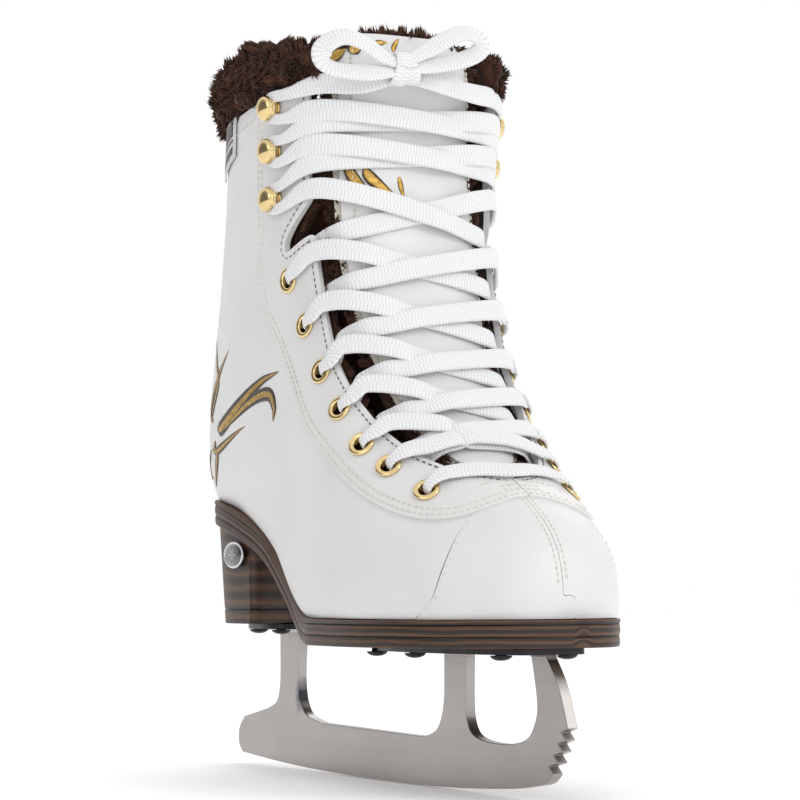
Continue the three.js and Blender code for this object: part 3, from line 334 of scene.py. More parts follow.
def on_last(s, a):
    """A point on the outside of the boot: 0 is its front or top, pi its back or bottom."""
    s, a = np.broadcast_arrays(np.asarray(s, float), np.asarray(a, float))
    ty, tz, ly, lz, half, out, widest, top, low = np.moveaxis(section(s), -1, 0)
    c = np.cos(a)
    d = np.sin(a)
    n = np.where(c > 0, top, low)
    r = (np.abs(c) ** n + np.abs(d) ** n) ** (-1 / n)
    q = widest + np.where(c > 0, 1 - widest, 1 + widest) * r * c
    return np.stack([out + half * r * d, (ty + ly) / 2 + q * (ty - ly) / 2,
                     (tz + lz) / 2 + q * (tz - lz) / 2], -1)


def unit(v):
    return v / np.maximum(np.linalg.norm(v, axis=-1, keepdims=True), 1e-9)


def last_normal(s, a):
    """The way out of the boot."""
    e = 0.02
    along = on_last(s + e, a) - on_last(np.maximum(np.asarray(s) - e, 0), a)
    return unit(np.cross(on_last(s, a + e) - on_last(s, a - e), along))


def on_boot(s, a, offset):
    """A point at this height over the outside of the boot."""
    return on_last(s, a) + last_normal(s, a) * np.asarray(offset)[..., None]


def lengths_along(line):
    return np.concatenate([[0], np.cumsum(np.linalg.norm(np.diff(line, axis=0), axis=1))])


def bisect(low, high, below, steps):
    """Halves the span between low and high; below says where the middle is still too low."""
    for _ in range(steps):
        mid = (low + high) / 2
        short = below(mid)
        low = np.where(short, mid, low)
        high = np.where(short, high, mid)
    return low, high


def turns(count):
    """Evenly spaced angles of one full turn."""
    return np.linspace(0, 2 * math.pi, count, endpoint=False)


def angle_at_x(s, x):
    """The angle at which the front of the boot has this x, at each station."""
    s, x = np.broadcast_arrays(np.asarray(s, float), np.asarray(x, float))
    side = np.where(x < 0, -1.0, 1.0)
    low, high = bisect(np.zeros(s.shape), np.full(s.shape, math.pi / 2),
                       lambda mid: side * on_last(s, side * mid)[..., 0] < side * x, 30)
    return side * (low + high) / 2


def table(*pairs):
    """A function that goes straight from pair to pair."""
    xs, ys = zip(*pairs, strict=True)
    return lambda x: np.interp(x, xs, ys)


opening_half = table((5, 15), (6, 23.5), (7, 28.3), (8, 31.3), (9, 33.5), (10, 35.4), (11, 36.3),
                     (13, 37.2), (15, 38), (17, 38.5), (19, 38.5))
BACKSTAY = 0.28
BACKSTAY_LOW = 12


def opening_x(s):
    """Half width of the lacing opening in the design, wider at the scallop above the eyelets."""
    t = np.clip((np.asarray(s, float) - THROAT) / 0.6, 0, 1)
    scallop = 5.5 * np.exp(-(((s - 12.35) / 0.42) ** 2))
    return opening_half(s) * np.sqrt(1 - (1 - t) ** 2) + scallop


def opening_angle(s):
    return np.maximum(angle_at_x(s, opening_x(s)), 0.008)


# Top of the sole: flat under the ball, rising through the waist to the heel seat.
FOREFOOT_TOP = 60.8
SEAT_TOP = 107.8
SOLE_LINE = [(-150, FOREFOOT_TOP), (-60, FOREFOOT_TOP), (-14, FOREFOOT_TOP), (6, FOREFOOT_TOP + 3.4),
             (27, 77.8), (46, 91.4), (64, 99.2), (84, SEAT_TOP - 3), (104, SEAT_TOP), (130, SEAT_TOP + 0.4)]
SOLE_PLAN = [
    (5, -124.8), (-9, -122.4), (-18, -117.5), (-27, -108), (-36, -95), (-43, -77), (-46, -58),
    (-46, -38), (-43.5, -16), (-38.5, 0), (-34.5, 16), (-32.5, 32), (-32, 50), (-32.5, 72),
    (-31.5, 88), (-27.5, 101), (-17.5, 111), (0, 116),
    (17.5, 111), (27.5, 101), (31.5, 88), (32.5, 72), (32, 50), (32.5, 32), (34, 16),
    (36.5, 0), (40.5, -16), (43.5, -38), (45, -58), (43.5, -79), (37.5, -97), (31, -109),
    (23, -118.5), (15, -123.4)]


def through(points, per_span=12, closed=False):
    """A smooth curve through the points, with the tangents of a uniform Catmull-Rom curve."""
    p = np.asarray(points, float)
    if closed:
        p = np.concatenate([p[-1:], p, p[:2]])
    else:
        p = np.concatenate([2 * p[:1] - p[1:2], p, 2 * p[-1:] - p[-2:-1]])
    t = np.linspace(0, 1, per_span, endpoint=False)[:, None]
    spans = []
    for a, b, c, d in zip(p, p[1:], p[2:], p[3:], strict=False):
        spans.append(0.5 * (2 * b + (c - a) * t + (2 * a - 5 * b + 4 * c - d) * t ** 2
                            + (3 * b - a - 3 * c + d) * t ** 3))
    if not closed:
        spans.append(p[-2:-1])
    return np.concatenate(spans)


SOLE_CURVE = through(SOLE_LINE, 20)


def sole_top(y):
    return np.maximum(np.interp(y, SOLE_CURVE[:, 0], SOLE_CURVE[:, 1]), FOREFOOT_TOP)


def feather_angle(s, above=0.3):
    """Where the upper meets the sole at each station, or pi where it stays above it."""
    s = np.asarray(s, float)

    def over(mid):
        p = on_last(s, mid)
        return p[..., 2] > sole_top(p[..., 1]) + above

    low, high = bisect(np.full(s.shape, math.pi / 2), np.full(s.shape, math.pi), over, 26)
    return (low + high) / 2


def resample(points, step):
    """The same line with points a step apart."""
    p = np.asarray(points, float)
    run = lengths_along(p)
    at = np.linspace(0, run[-1], max(2, int(round(run[-1] / step)) + 1))
    return np.stack([np.interp(at, run, p[:, k]) for k in range(p.shape[1])], 1)


# ---------------------------------------------------------------- mesh helpers
def mesh_object(name, points, faces, uv=None):
    """A mesh with its faces pointing out, from points in mm. uv holds one pair for each point."""
    mesh = bpy.data.meshes.new(name)
    mesh.from_pydata((np.asarray(points, float) * MM).tolist(), [], [tuple(map(int, f)) for f in faces])
    if uv is not None:
        corner = np.empty(len(mesh.loops), np.int32)
        mesh.loops.foreach_get("vertex_index", corner)
        layer = mesh.uv_layers.new(name="UVMap")
        layer.data.foreach_set("uv", np.asarray(uv, np.float32)[corner].ravel())
    work = bmesh.new()
    work.from_mesh(mesh)
    bmesh.ops.recalc_face_normals(work, faces=work.faces)
    work.to_mesh(mesh)
    work.free()
    obj = bpy.data.objects.new(name, mesh)
    bpy.context.scene.collection.objects.link(obj)
    return obj


def mesh_piece(name, points, faces, material, body="root", replaces=(), slot=None, uv=None, smooth=True):
    """A visible piece that rides a body, and the design's nodes it stands for."""
    obj = mesh_object(name, points, faces, uv)
    if smooth:
        obj.data.shade_smooth()
    else:
        obj.data.shade_flat()
    obj.data.materials.append(material)
    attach(obj, body)
    if replaces:
        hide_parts(*replaces)
    return obj


def bevel(obj, width, segments=2, angle=40):
    """Rounds the edges that turn by more than the angle."""
    mod = obj.modifiers.new("edge", "BEVEL")
    mod.width = width * MM
    mod.segments = segments
    mod.limit_method = "ANGLE"
    mod.angle_limit = math.radians(angle)
    mod.harden_normals = True
    return obj


def apply_modifiers(obj):
    bpy.context.view_layer.update()
    done = bpy.data.meshes.new_from_object(obj.evaluated_get(bpy.context.evaluated_depsgraph_get()))
    obj.modifiers.clear()
    obj.data = done


def grid_faces(rows, cols, wrap=False):
    """Four-sided faces over a grid of points, closed round its columns if wrap is set."""
    index = np.arange(rows * cols).reshape(rows, cols)
    right = np.roll(index, -1, 1) if wrap else index[:, 1:]
    left = index if wrap else index[:, :-1]
    return np.stack([left[:-1], right[:-1], right[1:], left[1:]], -1).reshape(-1, 4)


def shell(outer, inner):
    """Points and faces of a closed plate between two grids of points."""
    rows, cols = outer.shape[:2]
    size = rows * cols
    index = np.arange(size).reshape(rows, cols)
    rim = np.concatenate([index[0, :-1], index[:-1, -1], index[-1, :0:-1], index[:0:-1, 0]])
    after = np.roll(rim, -1)
    wall = np.stack([rim, after, after + size, rim + size], -1)
    top = grid_faces(rows, cols)
    return (np.concatenate([outer.reshape(-1, 3), inner.reshape(-1, 3)]),
            np.concatenate([top, top[:, ::-1] + size, wall]))


def loft(rings):
    """Points and faces of a closed body through rings of equal size."""
    rings = np.asarray(rings, float)
    count, size = rings.shape[:2]
    points = np.concatenate([rings.reshape(-1, 3), rings[0].mean(0)[None], rings[-1].mean(0)[None]])
    faces = [tuple(f) for f in grid_faces(count, size, wrap=True)]
    last = (count - 1) * size
    for j in range(size):
        k = (j + 1) % size
        faces.append((j, k, count * size))
        faces.append((last + j, last + k, count * size + 1))
    return points, faces


def lathe(profile, sides=40):
    """Points and faces of a closed ring or disc turned about +Z; profile is (radius, z)."""
    turn = turns(sides)
    p = np.asarray(profile, float)
    points = np.stack([p[:, None, 0] * np.cos(turn), p[:, None, 0] * np.sin(turn),
                       np.repeat(p[:, 1:2], sides, 1)], -1)
    faces = grid_faces(len(p), sides, wrap=True)
    return points.reshape(-1, 3), faces


def frame_at(s, a):
    """Where a fitting sits on the boot: its place, and X round it, Y up it and Z out of it."""
    out = last_normal(s, a)
    up = on_last(s + 0.05, a) - on_last(s - 0.05, a)
    up = unit(up - out * np.dot(up, out))
    return on_last(s, a), np.stack([np.cross(up, out), up, out])


def placed(points, s, a):
    """The points of a fitting, moved to its seat on the boot."""
    middle, axes = frame_at(s, a)
    return np.asarray(points, float) @ axes + middle


# ---------------------------------------------------------------- lace, on the design's route
EYELETS = [(5.19, 0.69), (6.21, 0.74), (7.02, 0.8), (8.04, 0.85), (9.13, 0.94), (10.22, 1.01), (11.51, 1.05)]
HOOKS = [(14.16, 1.09), (15.57, 1.09), (16.6, 1.09)]
SIDES = (("right", -1), ("left", 1))
EYELET_BORE = 2.7
EYELET_RISE = 0.8
HOOK = 4.8
HOOK_THROAT = 2.9
HOOK_PLATE = 0.8
HOOK_NECK = 2.5
HOOK_REACH = 4.2
HOOK_NECK_HALF = 3.1
STAY_TOP = STAY_RISE + GAP
FLANGE_TOP = STAY_TOP + EYELET_RISE
LACE_WIDTH = 8
LACE = 2  # its thickness
LACE_PINCHED = 4.4
HALF_PINCHED = LACE_PINCHED / 2
KNOT = (-10, -29.5, 262)
KNOT_HALF = (5.5, 4.5, 7)
KNOT_PINCH = 1.9  # half width of the lace where it enters the knot
BESIDE = HOOK_REACH + 0.5
OVER = 3.4
UNDER = 1
FROM_UNDER = [(-1, -LEATHER - 1.4, 3.2, 1.2), (2, -LEATHER - 0.7, 3.4, 1.2), (4.5, -0.5, 3.6, 1.3),
              (8, 1.1, 4, 1.7), (14, 1.1, 4, LACE)]
FROM_HOOK = [(-4, STAY_TOP + 2.2, 2, LACE), (-1, STAY_TOP + 1.5, 3.6, LACE), (3, 2.2, 4, LACE),
             (8, 1.6, 4, LACE), (14, 1.2, 4, LACE)]
TO_EYELET = [(14, 3.3, 4, LACE), (8, 3.2, 4, LACE), (3, 3, 4, LACE), (-1, STAY_TOP + 1.6, 3.8, LACE)]
TO_HOOK = [*TO_EYELET, (-4, STAY_TOP + 2.2, 2, LACE)]


def lace_point(place, out, half, thick):
    """One row of the route: place, the way out of the boot, half width, thickness."""
    return np.concatenate([place, out, [half, thick]])


def lace_on_boot(s, a, offset, half, thick):
    return lace_point(on_boot(s, a, offset), last_normal(s, a), half, thick)


def through_eyelet(index, side):
    """The lace's way down through an eyelet, from the outside in."""
    s, a = EYELETS[index]
    middle, axes = frame_at(s, side * a)
    inward = -side

    def at(x, z, half, thick, turned=False):
        out = np.array([-inward, 0, 0] if turned else [0, 0, 1]) @ axes
        return lace_point(middle + np.array([inward * x, 0, z]) @ axes, out, half, thick)

    return [at(7, FLANGE_TOP + 1, 3.4, 1.7), at(3.4, FLANGE_TOP + 1.25, HALF_PINCHED, 1.4),
            at(0.5, FLANGE_TOP + 0.2, HALF_PINCHED - 0.1, 1.3, True), at(0, 0, HALF_PINCHED - 0.1, 1.3, True),
            at(0.4, -LEATHER - 1, HALF_PINCHED - 0.1, 1.2, True), at(3.2, -LEATHER - 1.45, HALF_PINCHED, 1.2)]


def station_at_height(z, place, low):
    """The station at which the front of the boot, at the x that place gives, is at height z."""
    return bisect(low, SHAFT_TOP, lambda mid: on_last(mid, angle_at_x(mid, place(mid)))[2] < z, 20)[0]


def across_opening(start, end, side, lift, starts, ends):
    """The lace from one edge of the opening, straight across to the other."""
    wide = opening_half(start) + opening_half(end)
    first, last = (on_last(s, angle_at_x(s, sign * opening_half(s)))[2]
                   for s, sign in ((start, side), (end, -side)))

    def station(share, place):
        if share <= 0 or share >= 1:
            return start + (end - start) * share
        return station_at_height(first + (last - first) * share, place, min(start, THROAT + 1))

    def at(stop, sign):
        inset, offset, half, thick = stop

        def place(s):
            return sign * (opening_half(s) - inset)

        s = station(inset / wide if sign == side else 1 - inset / wide, place)
        return lace_on_boot(s, angle_at_x(s, place(s)), offset, half, thick)

    def middle(share):
        def place(s):
            return side * opening_half(s) * (1 - 2 * share)

        s = station(share, place)
        return lace_on_boot(s, angle_at_x(s, place(s)), lift, LACE_WIDTH / 2, LACE)

    return ([at(stop, side) for stop in starts] + [middle(share) for share in (0.36, 0.5, 0.64)]
            + [at(stop, -side) for stop in ends])


def round_hook(index, side):
    """The lace's turn round the neck of a hook, upwards."""
    s, a = HOOKS[index]
    middle, axes = frame_at(s, side * a)
    height = STAY_TOP + HOOK_PLATE + HOOK_THROAT / 2
    points = []
    for turn in np.radians([-90, -45, 0, 45, 90]):
        x = side * (HOOK_REACH * math.cos(turn) - HOOK_NECK)
        place = middle + np.array([x, HOOK_REACH * math.sin(turn), height]) @ axes
        points.append(lace_point(place, axes[2], HALF_PINCHED, LACE))
    return points


def station_beside(index, side, y):
    """The station of the opening's edge that lies y above a hook."""
    s, a = HOOKS[index]
    middle, axes = frame_at(s, side * a)

    def short(mid):
        edge = on_last(mid, angle_at_x(mid, side * (opening_half(mid) + 4)))
        return np.dot(edge - middle, axes[1]) < y

    return bisect(s - 1.5, s + 1, short, 24)[0]


def half_lace(first_side):
    """From the lowest eyelet on one side, to and fro up to the last hook."""
    side = first_side
    points = through_eyelet(0, side)
    lift = {-1: OVER, 1: UNDER}
    for k in range(len(EYELETS) - 1):
        start = EYELETS[k][0] + (0.8 if k == 0 else 0.22)
        points += across_opening(start, EYELETS[k + 1][0] - 0.1, side, lift[side], FROM_UNDER, TO_EYELET)
        side = -side
        points += through_eyelet(k + 1, side)
    points += across_opening(EYELETS[-1][0] + 0.22, station_beside(0, -side, -BESIDE), side,
                             lift[-side], FROM_UNDER, TO_HOOK)
    side = -side
    points += round_hook(0, side)
    for k in range(len(HOOKS) - 1):
        start = station_beside(k, side, BESIDE)
        end = station_beside(k + 1, -side, -BESIDE)
        points += across_opening(start, end, side, lift[-side], FROM_HOOK, TO_HOOK)
        side = -side
        points += round_hook(k + 1, side)
    return points, side


def lace_route():
    """From one end in the knot, down to the bottom bar and up to the other end."""
    ends = []
    for first_side in (1, -1):
        points, side = half_lace(first_side)
        out = np.array([0, -0.995, 0.0995])
        for inset, offset, half in ((-4, 3.2, 2.2), (-1, 2.7, 3.2), (4, 2.6, 4)):
            s = station_beside(len(HOOKS) - 1, side, BESIDE) + 0.02 * (inset + 4)
            a = angle_at_x(s, side * (opening_half(s) - inset))
            points.append(lace_on_boot(s, a, offset, half, LACE))
        points.append(lace_point((side * 24, -25, KNOT[2] - 6), out, 4, LACE))
        points.append(lace_point((KNOT[0] + side * 1.5, KNOT[1] + 0.5, KNOT[2] - 2.5),
                                 out, HALF_PINCHED, LACE))
        ends.append(points)
    s, a = EYELETS[0]
    bar = [lace_on_boot(s - 0.35 * (1 - abs(share)), a * 0.68 * share, STAY_TOP + 1.5,
                        4 - 0.6 * abs(share), LACE) for share in (-1, -0.5, 0, 0.5, 1)]
    return np.array(ends[1][::-1] + bar + ends[0])


def rounded(route, passes=3):
    """Cuts the corners of a route, keeping its ends."""
    for _ in range(passes):
        a = route[:-1]
        b = route[1:]
        cut = np.stack([a * 0.75 + b * 0.25, a * 0.25 + b * 0.75], 1).reshape(-1, route.shape[1])
        route = np.concatenate([route[:1], cut[1:-1], route[-1:]])
    return route


def ribbon(route, sides=18, wobble=0.0):
    """Points, faces and UVs (mm along, mm across) of a flat woven lace along a route."""
    place = route[:, :3]
    along = unit(np.gradient(place, axis=0))
    across = unit(np.cross(route[:, 3:6], along))
    for i in range(1, len(across)):
        if np.dot(across[i], across[i - 1]) < 0:
            across[i:] = -across[i:]
    for _ in range(3):
        across[1:-1] = (across[:-2] + 2 * across[1:-1] + across[2:]) / 4
    across = unit(across - along * np.sum(across * along, 1, keepdims=True))
    face = np.cross(along, across)
    run = lengths_along(place)
    twist = wobble * (np.sin(run / 9.1) + 0.7 * np.sin(run / 5.3 + 1.7))[:, None]
    across, face = across + face * twist, face - across * twist
    turn = turns(sides)
    c = np.cos(turn)
    d = np.sin(turn)
    x = np.sign(c) * np.abs(c) ** 0.62
    y = np.sign(d) * np.abs(d) ** 0.8 * (1 - 0.16 * (1 - np.abs(x)) ** 1.5)
    rings = (place[:, None] + across[:, None] * (x * route[:, 6:7])[..., None]
             + face[:, None] * (y * route[:, 7:8] / 2)[..., None])
    points, faces = loft(rings)
    uv = np.stack([np.repeat(run[:, None], sides, 1), x[None] * route[:, 6:7]], -1).reshape(-1, 2)
    uv = np.concatenate([uv, uv[:1], uv[-1:]])
    return points, faces, uv


# The bow's loops: x, y, z of the middle of the lace.
BOW_RIGHT = [(-11, -31, 263), (-19, -32, 265.5), (-28.5, -33, 270), (-37, -33, 271), (-43.5, -32, 267),
             (-44, -32, 262), (-39.5, -32, 259.3), (-30, -32, 258.8), (-20, -31.8, 259.8), (-11, -31, 261)]
BOW_LEFT = [(-10, -31, 264), (-2.5, -32, 268.5), (5, -33, 273), (13.5, -33, 277), (20.5, -32, 276),
            (21.5, -32, 271.5), (15, -32, 267.5), (4.5, -32, 264.6), (-5, -31.5, 262.8), (-10, -31, 262)]
TAIL = [(-10, -27.5, 260), (-3, -27, 261), (5, -26.5, 261.5), (12, -26, 260.5), (18, -25.5, 257.5)]


def join(parts):
    """Several (points, faces, uv) as one."""
    points = []
    faces = []
    uvs = []
    count = 0
    for part in parts:
        points.append(part[0])
        faces += [tuple(int(i) + count for i in f) for f in part[1]]
        uvs.append(part[2] if len(part) > 2 else np.zeros((len(part[0]), 2)))
        count += len(part[0])
    return np.concatenate(points), faces, np.concatenate(uvs)


def joined_piece(name, parts, material, **more):
    points, faces, _ = join(parts)
    return mesh_piece(name, points, faces, material, **more)


def bow(material):
    """The bow's two loops, its tail and the knot."""
    parts = []
    for line, widest in ((BOW_RIGHT, 3.8), (BOW_LEFT, 3.6), (TAIL, 3.2)):
        curve = through(line, 8)
        share = np.linspace(0, 1, len(curve))
        if line is TAIL:
            pinch = np.minimum(1, share * 5)
            facing = (0, -1, 0.5)
        else:
            pinch = np.minimum(1, np.minimum(share, 1 - share) * 6)
            facing = (-0.3, -0.9, 0.55)
        half = KNOT_PINCH + (widest - KNOT_PINCH) * pinch
        out = np.tile(unit(np.array(facing)), (len(curve), 1))
        parts.append(ribbon(np.column_stack([curve, out, half, np.full(len(curve), 2.2)]), wobble=0.05))
    # The knot: two turns of the lace round the roots of the loops.
    for lean, shift, size in ((0.22, -1.4, 1.0), (-0.3, 2.0, 0.86)):
        turn = np.linspace(0, 2 * math.pi, 44)
        y = -np.cos(turn) * KNOT_HALF[1] * 0.85 * size
        z = np.sin(turn) * KNOT_HALF[2] * 0.8 * size
        ring = np.column_stack([KNOT[0] + shift + lean * z, KNOT[1] + y, KNOT[2] + z])
        out = unit(np.column_stack([np.zeros(len(turn)), y, z]))
        parts.append(ribbon(np.column_stack([ring, out, np.full(len(turn), 3.1), np.full(len(turn), 1.9)])))
    points, faces, uv = join(parts)
    return mesh_piece("tied_bow", points, faces, material, replaces=["lace_bow"], slot="cotton", uv=uv)


def lace():
    """The one lace, with its bow."""
    material = lace_material()
    loops = bow(material)
    route = rounded(lace_route())
    points, faces, uv = ribbon(route, wobble=0.045)
    piece = mesh_piece("woven_lace", points, faces, material, replaces=["lace"], slot="cotton", uv=uv)


# ---------------------------------------------------------------- stitching
THREAD_RISE = 0.08
STAY_ROWS = (1.6, 4.1)  # distances of the rows from the edge of the stay
OPENING_ROW = 2.2
TOE_ROW = 1.7


class Stitches:
    """Gathers short threads along lines, to be one piece for each body."""

    def __init__(self):
        self.parts = []

    def row(self, points, normals, pitch=2.5, length=1.75, thick=0.3):
        line = resample(np.concatenate([points, normals], 1), pitch / 2)
        middle = line[1::2]
        if len(middle) < 2:
            return
        out = unit(middle[:, 3:])
        along = unit(np.gradient(line[:, :3], axis=0)[1::2])
        side = unit(np.cross(along, out))
        turn = turns(6)
        ends = np.array([(-0.5, 0.25), (-0.36, 0.95), (0, 1.1), (0.36, 0.95), (0.5, 0.25)])
        base = middle[:, :3] + out * THREAD_RISE
        rings = (base[:, None, None] + along[:, None, None] * (ends[:, 0] * length)[None, :, None, None]
                 + side[:, None, None] * (ends[:, 1:2] * np.cos(turn) * thick)[None, :, :, None]
                 + out[:, None, None] * (ends[:, 1:2] * np.sin(turn) * thick)[None, :, :, None])
        size = len(ends) * 6
        faces = grid_faces(len(ends), 6, wrap=True).tolist()
        faces += [list(range(6)), list(range(size - 6, size))]
        for k in range(len(base)):
            self.parts.append((rings[k].reshape(-1, 3), faces))

    def on_surface(self, s, a, offset, **more):
        s, a = np.broadcast_arrays(np.asarray(s, float), np.asarray(a, float))
        self.row(on_boot(s, a, offset), last_normal(s, a), **more)

    def piece(self, name, material, body="root"):
        joined_piece(name, self.parts, material, body=body, slot="white_leather")


# ---------------------------------------------------------------- leather upper
def line_groove(s, a, line_angle, depth, wide):
    """How far the leather sinks beside a line of stitches."""
    reach = np.linalg.norm(on_last(s, a + 0.01) - on_last(s, a), axis=-1) / 0.01
    away = (a - line_angle) * reach
    return -depth * np.exp(-((away / wide) ** 2))


def wrinkle(points, size, height):
    """A gentle smooth unevenness, the same each run."""
    p = points / size
    return height * (np.sin(p[..., 0] * 1.3 + 0.7 * np.sin(p[..., 2] * 0.9)) * np.sin(p[..., 2] * 1.1 + 1.3)
                     + 0.6 * np.sin(p[..., 1] * 1.7 + p[..., 2] * 0.6 + 0.4))


def leather_plate(name, s, a, rise, depth, material, replaces, grooves=()):
    """A panel over the stations s and the angles a, as (rows, columns) grids."""
    flat = on_last(s, a)
    relief = rise + wrinkle(flat, 21, 0.16)
    for angle, deep, wide in grooves:
        relief = relief + line_groove(s, np.abs(a), angle, deep, wide)
    outer = on_boot(s, a, relief)
    inner = on_boot(s, a, -depth)
    points, faces = shell(outer, inner)
    piece = mesh_piece(name, points, faces, material, replaces=replaces, slot="white_leather")
    return bevel(piece, 0.55, 3)


def grid(s, first, last, columns):
    """Station and angle grids between two edge lines."""
    v = np.linspace(0, 1, columns)
    s2 = np.repeat(s[:, None], columns, 1)
    return s2, first[:, None] + (last - first)[:, None] * v


# Outer edge of the lace stay: station and angle, from the top down and round under the throat.
STAY_LINE = through([(17, 1.34), (15.5, 1.335), (13.8, 1.32), (12.4, 1.315), (11.2, 1.315), (9.5, 1.24),
                     (7.8, 1.07), (6, 0.995), (5, 0.93), (4.4, 0.82), (4.04, 0.66), (3.9, 0.42),
                     (3.94, 0.2), (4.0, 0)], 14)
THROAT_EDGE = 4.72
SEAM_X = 0.6
HAIR = 0.12  # half the gap between two panels that meet
TOE_SEAM_ANGLE = 0.62  # where the toe's seam leaves the lace stay


def stay_edge(s):
    """Angle of the outer edge of the lace stay where it runs up the boot."""
    rising = STAY_LINE[STAY_LINE[:, 1] > 0.64][::-1]
    return np.interp(s, rising[:, 0], rising[:, 1])


def opening_edge():
    """The edge of the lacing opening, from the top down to the middle of the throat."""
    round_throat = 6 - (6 - THROAT_EDGE) * np.sin(np.linspace(0, math.pi / 2, 50))
    s = np.concatenate([np.linspace(SHAFT_TOP, 6, 240), round_throat])
    t = np.clip((s - THROAT_EDGE) / 0.75, 0, 1)
    scallop = 4.8 * np.exp(-(((s - 12.4) / 0.42) ** 4))
    x = opening_half(s) * np.sqrt(1 - (1 - t) ** 2) + scallop
    a = angle_at_x(s, np.maximum(x, 0.05))
    return np.stack([s, a], 1)


def even(line, count):
    """Points at equal distances along a line of (station, angle) on the boot."""
    place = on_last(line[:, 0], line[:, 1])
    run = lengths_along(place)
    at = np.linspace(0, run[-1], count)
    return np.stack([np.interp(at, run, line[:, k]) for k in (0, 1)], 1)


def toe_seam_station(angle):
    """Station of the seam between the toe panel and the side panel."""
    share = np.clip((np.abs(angle) - TOE_SEAM_ANGLE) / (feather_angle(4.2) - TOE_SEAM_ANGLE), 0, 1)
    return 4.02 + 0.55 * share - 0.32 * np.sin(math.pi * share)


def centre_angle(s, x=SEAM_X):
    """Angle of the toe seam, which runs straight down the middle of the toe."""
    low, _ = bisect(np.full(np.shape(s), -1.0), np.full(np.shape(s), 1.0),
                    lambda mid: on_last(s, mid)[..., 0] < x, 24)
    return low * np.clip(s / 0.3, 0, 1)


def upper(white):
    """Toe, side and stay panels of both sides, and the strip up the back."""
    for side, sign in SIDES:
        v = np.linspace(0, 1, 96)
        end = np.maximum(toe_seam_station(v * feather_angle(4.2)), 0) + 0.2 * (v < 0.25)
        u = np.linspace(0, 1, 130) ** 1.25
        s2 = u[:, None] * end[None]
        seam = centre_angle(s2) + sign * HAIR / np.maximum(section(s2)[..., 4], 1)
        a2 = seam + (sign * feather_angle(s2) - seam) * v[None]
        leather_plate(f"toe_{side}", s2, a2, 0.0, LEATHER, white, [f"toe_panel_{side}"])

        first = toe_seam_station(TOE_SEAM_ANGLE + (feather_angle(4.2) - TOE_SEAM_ANGLE) * v) + 0.02
        u = np.linspace(0, 1, 240)
        s2 = first[None] + (SHAFT_TOP - first[None]) * u[:, None]
        front = stay_edge(s2) - 0.06
        back = np.where(s2 < BACKSTAY_LOW, math.pi, math.pi - BACKSTAY + 0.012)
        back = np.minimum(back, feather_angle(s2))
        leather_plate(f"side_{side}", s2, sign * (front + (back - front) * v[None]), 0.0, LEATHER, white,
                      [f"quarter_{side}"], [(stay_edge(s2) + 0.01, 0.3, 0.9)])

        inner = even(opening_edge(), 300)
        outer = even(STAY_LINE, 300)
        v = np.linspace(0, 1, 36)[None, :, None]
        both = inner[:, None] * (1 - v) + outer[:, None] * v
        both[..., 1] = np.maximum(both[..., 1], HAIR / section(both[..., 0])[..., 4] * 2)
        stay = leather_plate(f"stay_{side}", both[..., 0], sign * both[..., 1], STAY_RISE, LEATHER - GAP,
                             white, [f"lace_stay_{side}"])
        punch_eyelets(stay, sign)

    a = np.linspace(math.pi - BACKSTAY, math.pi + BACKSTAY, 36)
    v = np.linspace(0, 1, 110)
    low = BACKSTAY_LOW + 0.15
    s2 = np.repeat((low + (SHAFT_TOP - low) * v)[:, None], len(a), 1)
    a2 = np.repeat(a[None], len(v), 0)
    outer = on_boot(s2, a2, STAY_RISE)
    inner = on_boot(s2, a2, -LEATHER)
    for p in (outer, inner):
        p[..., 2] = np.maximum(p[..., 2], sole_top(p[..., 1]) + GAP)
    points, faces = shell(outer, inner)
    bevel(mesh_piece("back_strip", points, faces, white, replaces=["backstay"], slot="white_leather"), 0.5, 3)


def punch_eyelets(stay, sign):
    """Cuts the seven eyelet holes through a lace stay."""
    cutters = []
    turn = turns(28)
    r = EYELET_BORE + 0.8
    for s, a in EYELETS:
        rings = [placed(np.stack([r * np.cos(turn), r * np.sin(turn), np.full(28, z)], 1), s, sign * a)
                 for z in (-6, 5)]
        cutters.append(loft(rings))
    points, faces, _ = join(cutters)
    cutter = mesh_object("cutter", points, faces)
    mod = stay.modifiers.new("holes", "BOOLEAN")
    mod.operation = "DIFFERENCE"
    mod.solver = "EXACT"
    mod.object = cutter
    stay.modifiers.move(1, 0)
    apply_modifiers(stay)
    bpy.data.objects.remove(cutter)


def beside(line, distance):
    """A line of (station, angle) moved sideways on the boot, in mm."""
    place = on_last(line[:, 0], line[:, 1])
    across = unit(np.cross(last_normal(line[:, 0], line[:, 1]), np.gradient(place, axis=0)))
    ds = on_last(line[:, 0] + 0.01, line[:, 1]) - place
    da = on_last(line[:, 0], line[:, 1] + 0.01) - place
    moved = []
    for k in range(len(line)):
        step = np.linalg.lstsq(np.stack([ds[k], da[k]], 1), across[k] * distance, rcond=None)[0]
        moved.append(line[k] + step * 0.01)
    return np.array(moved)


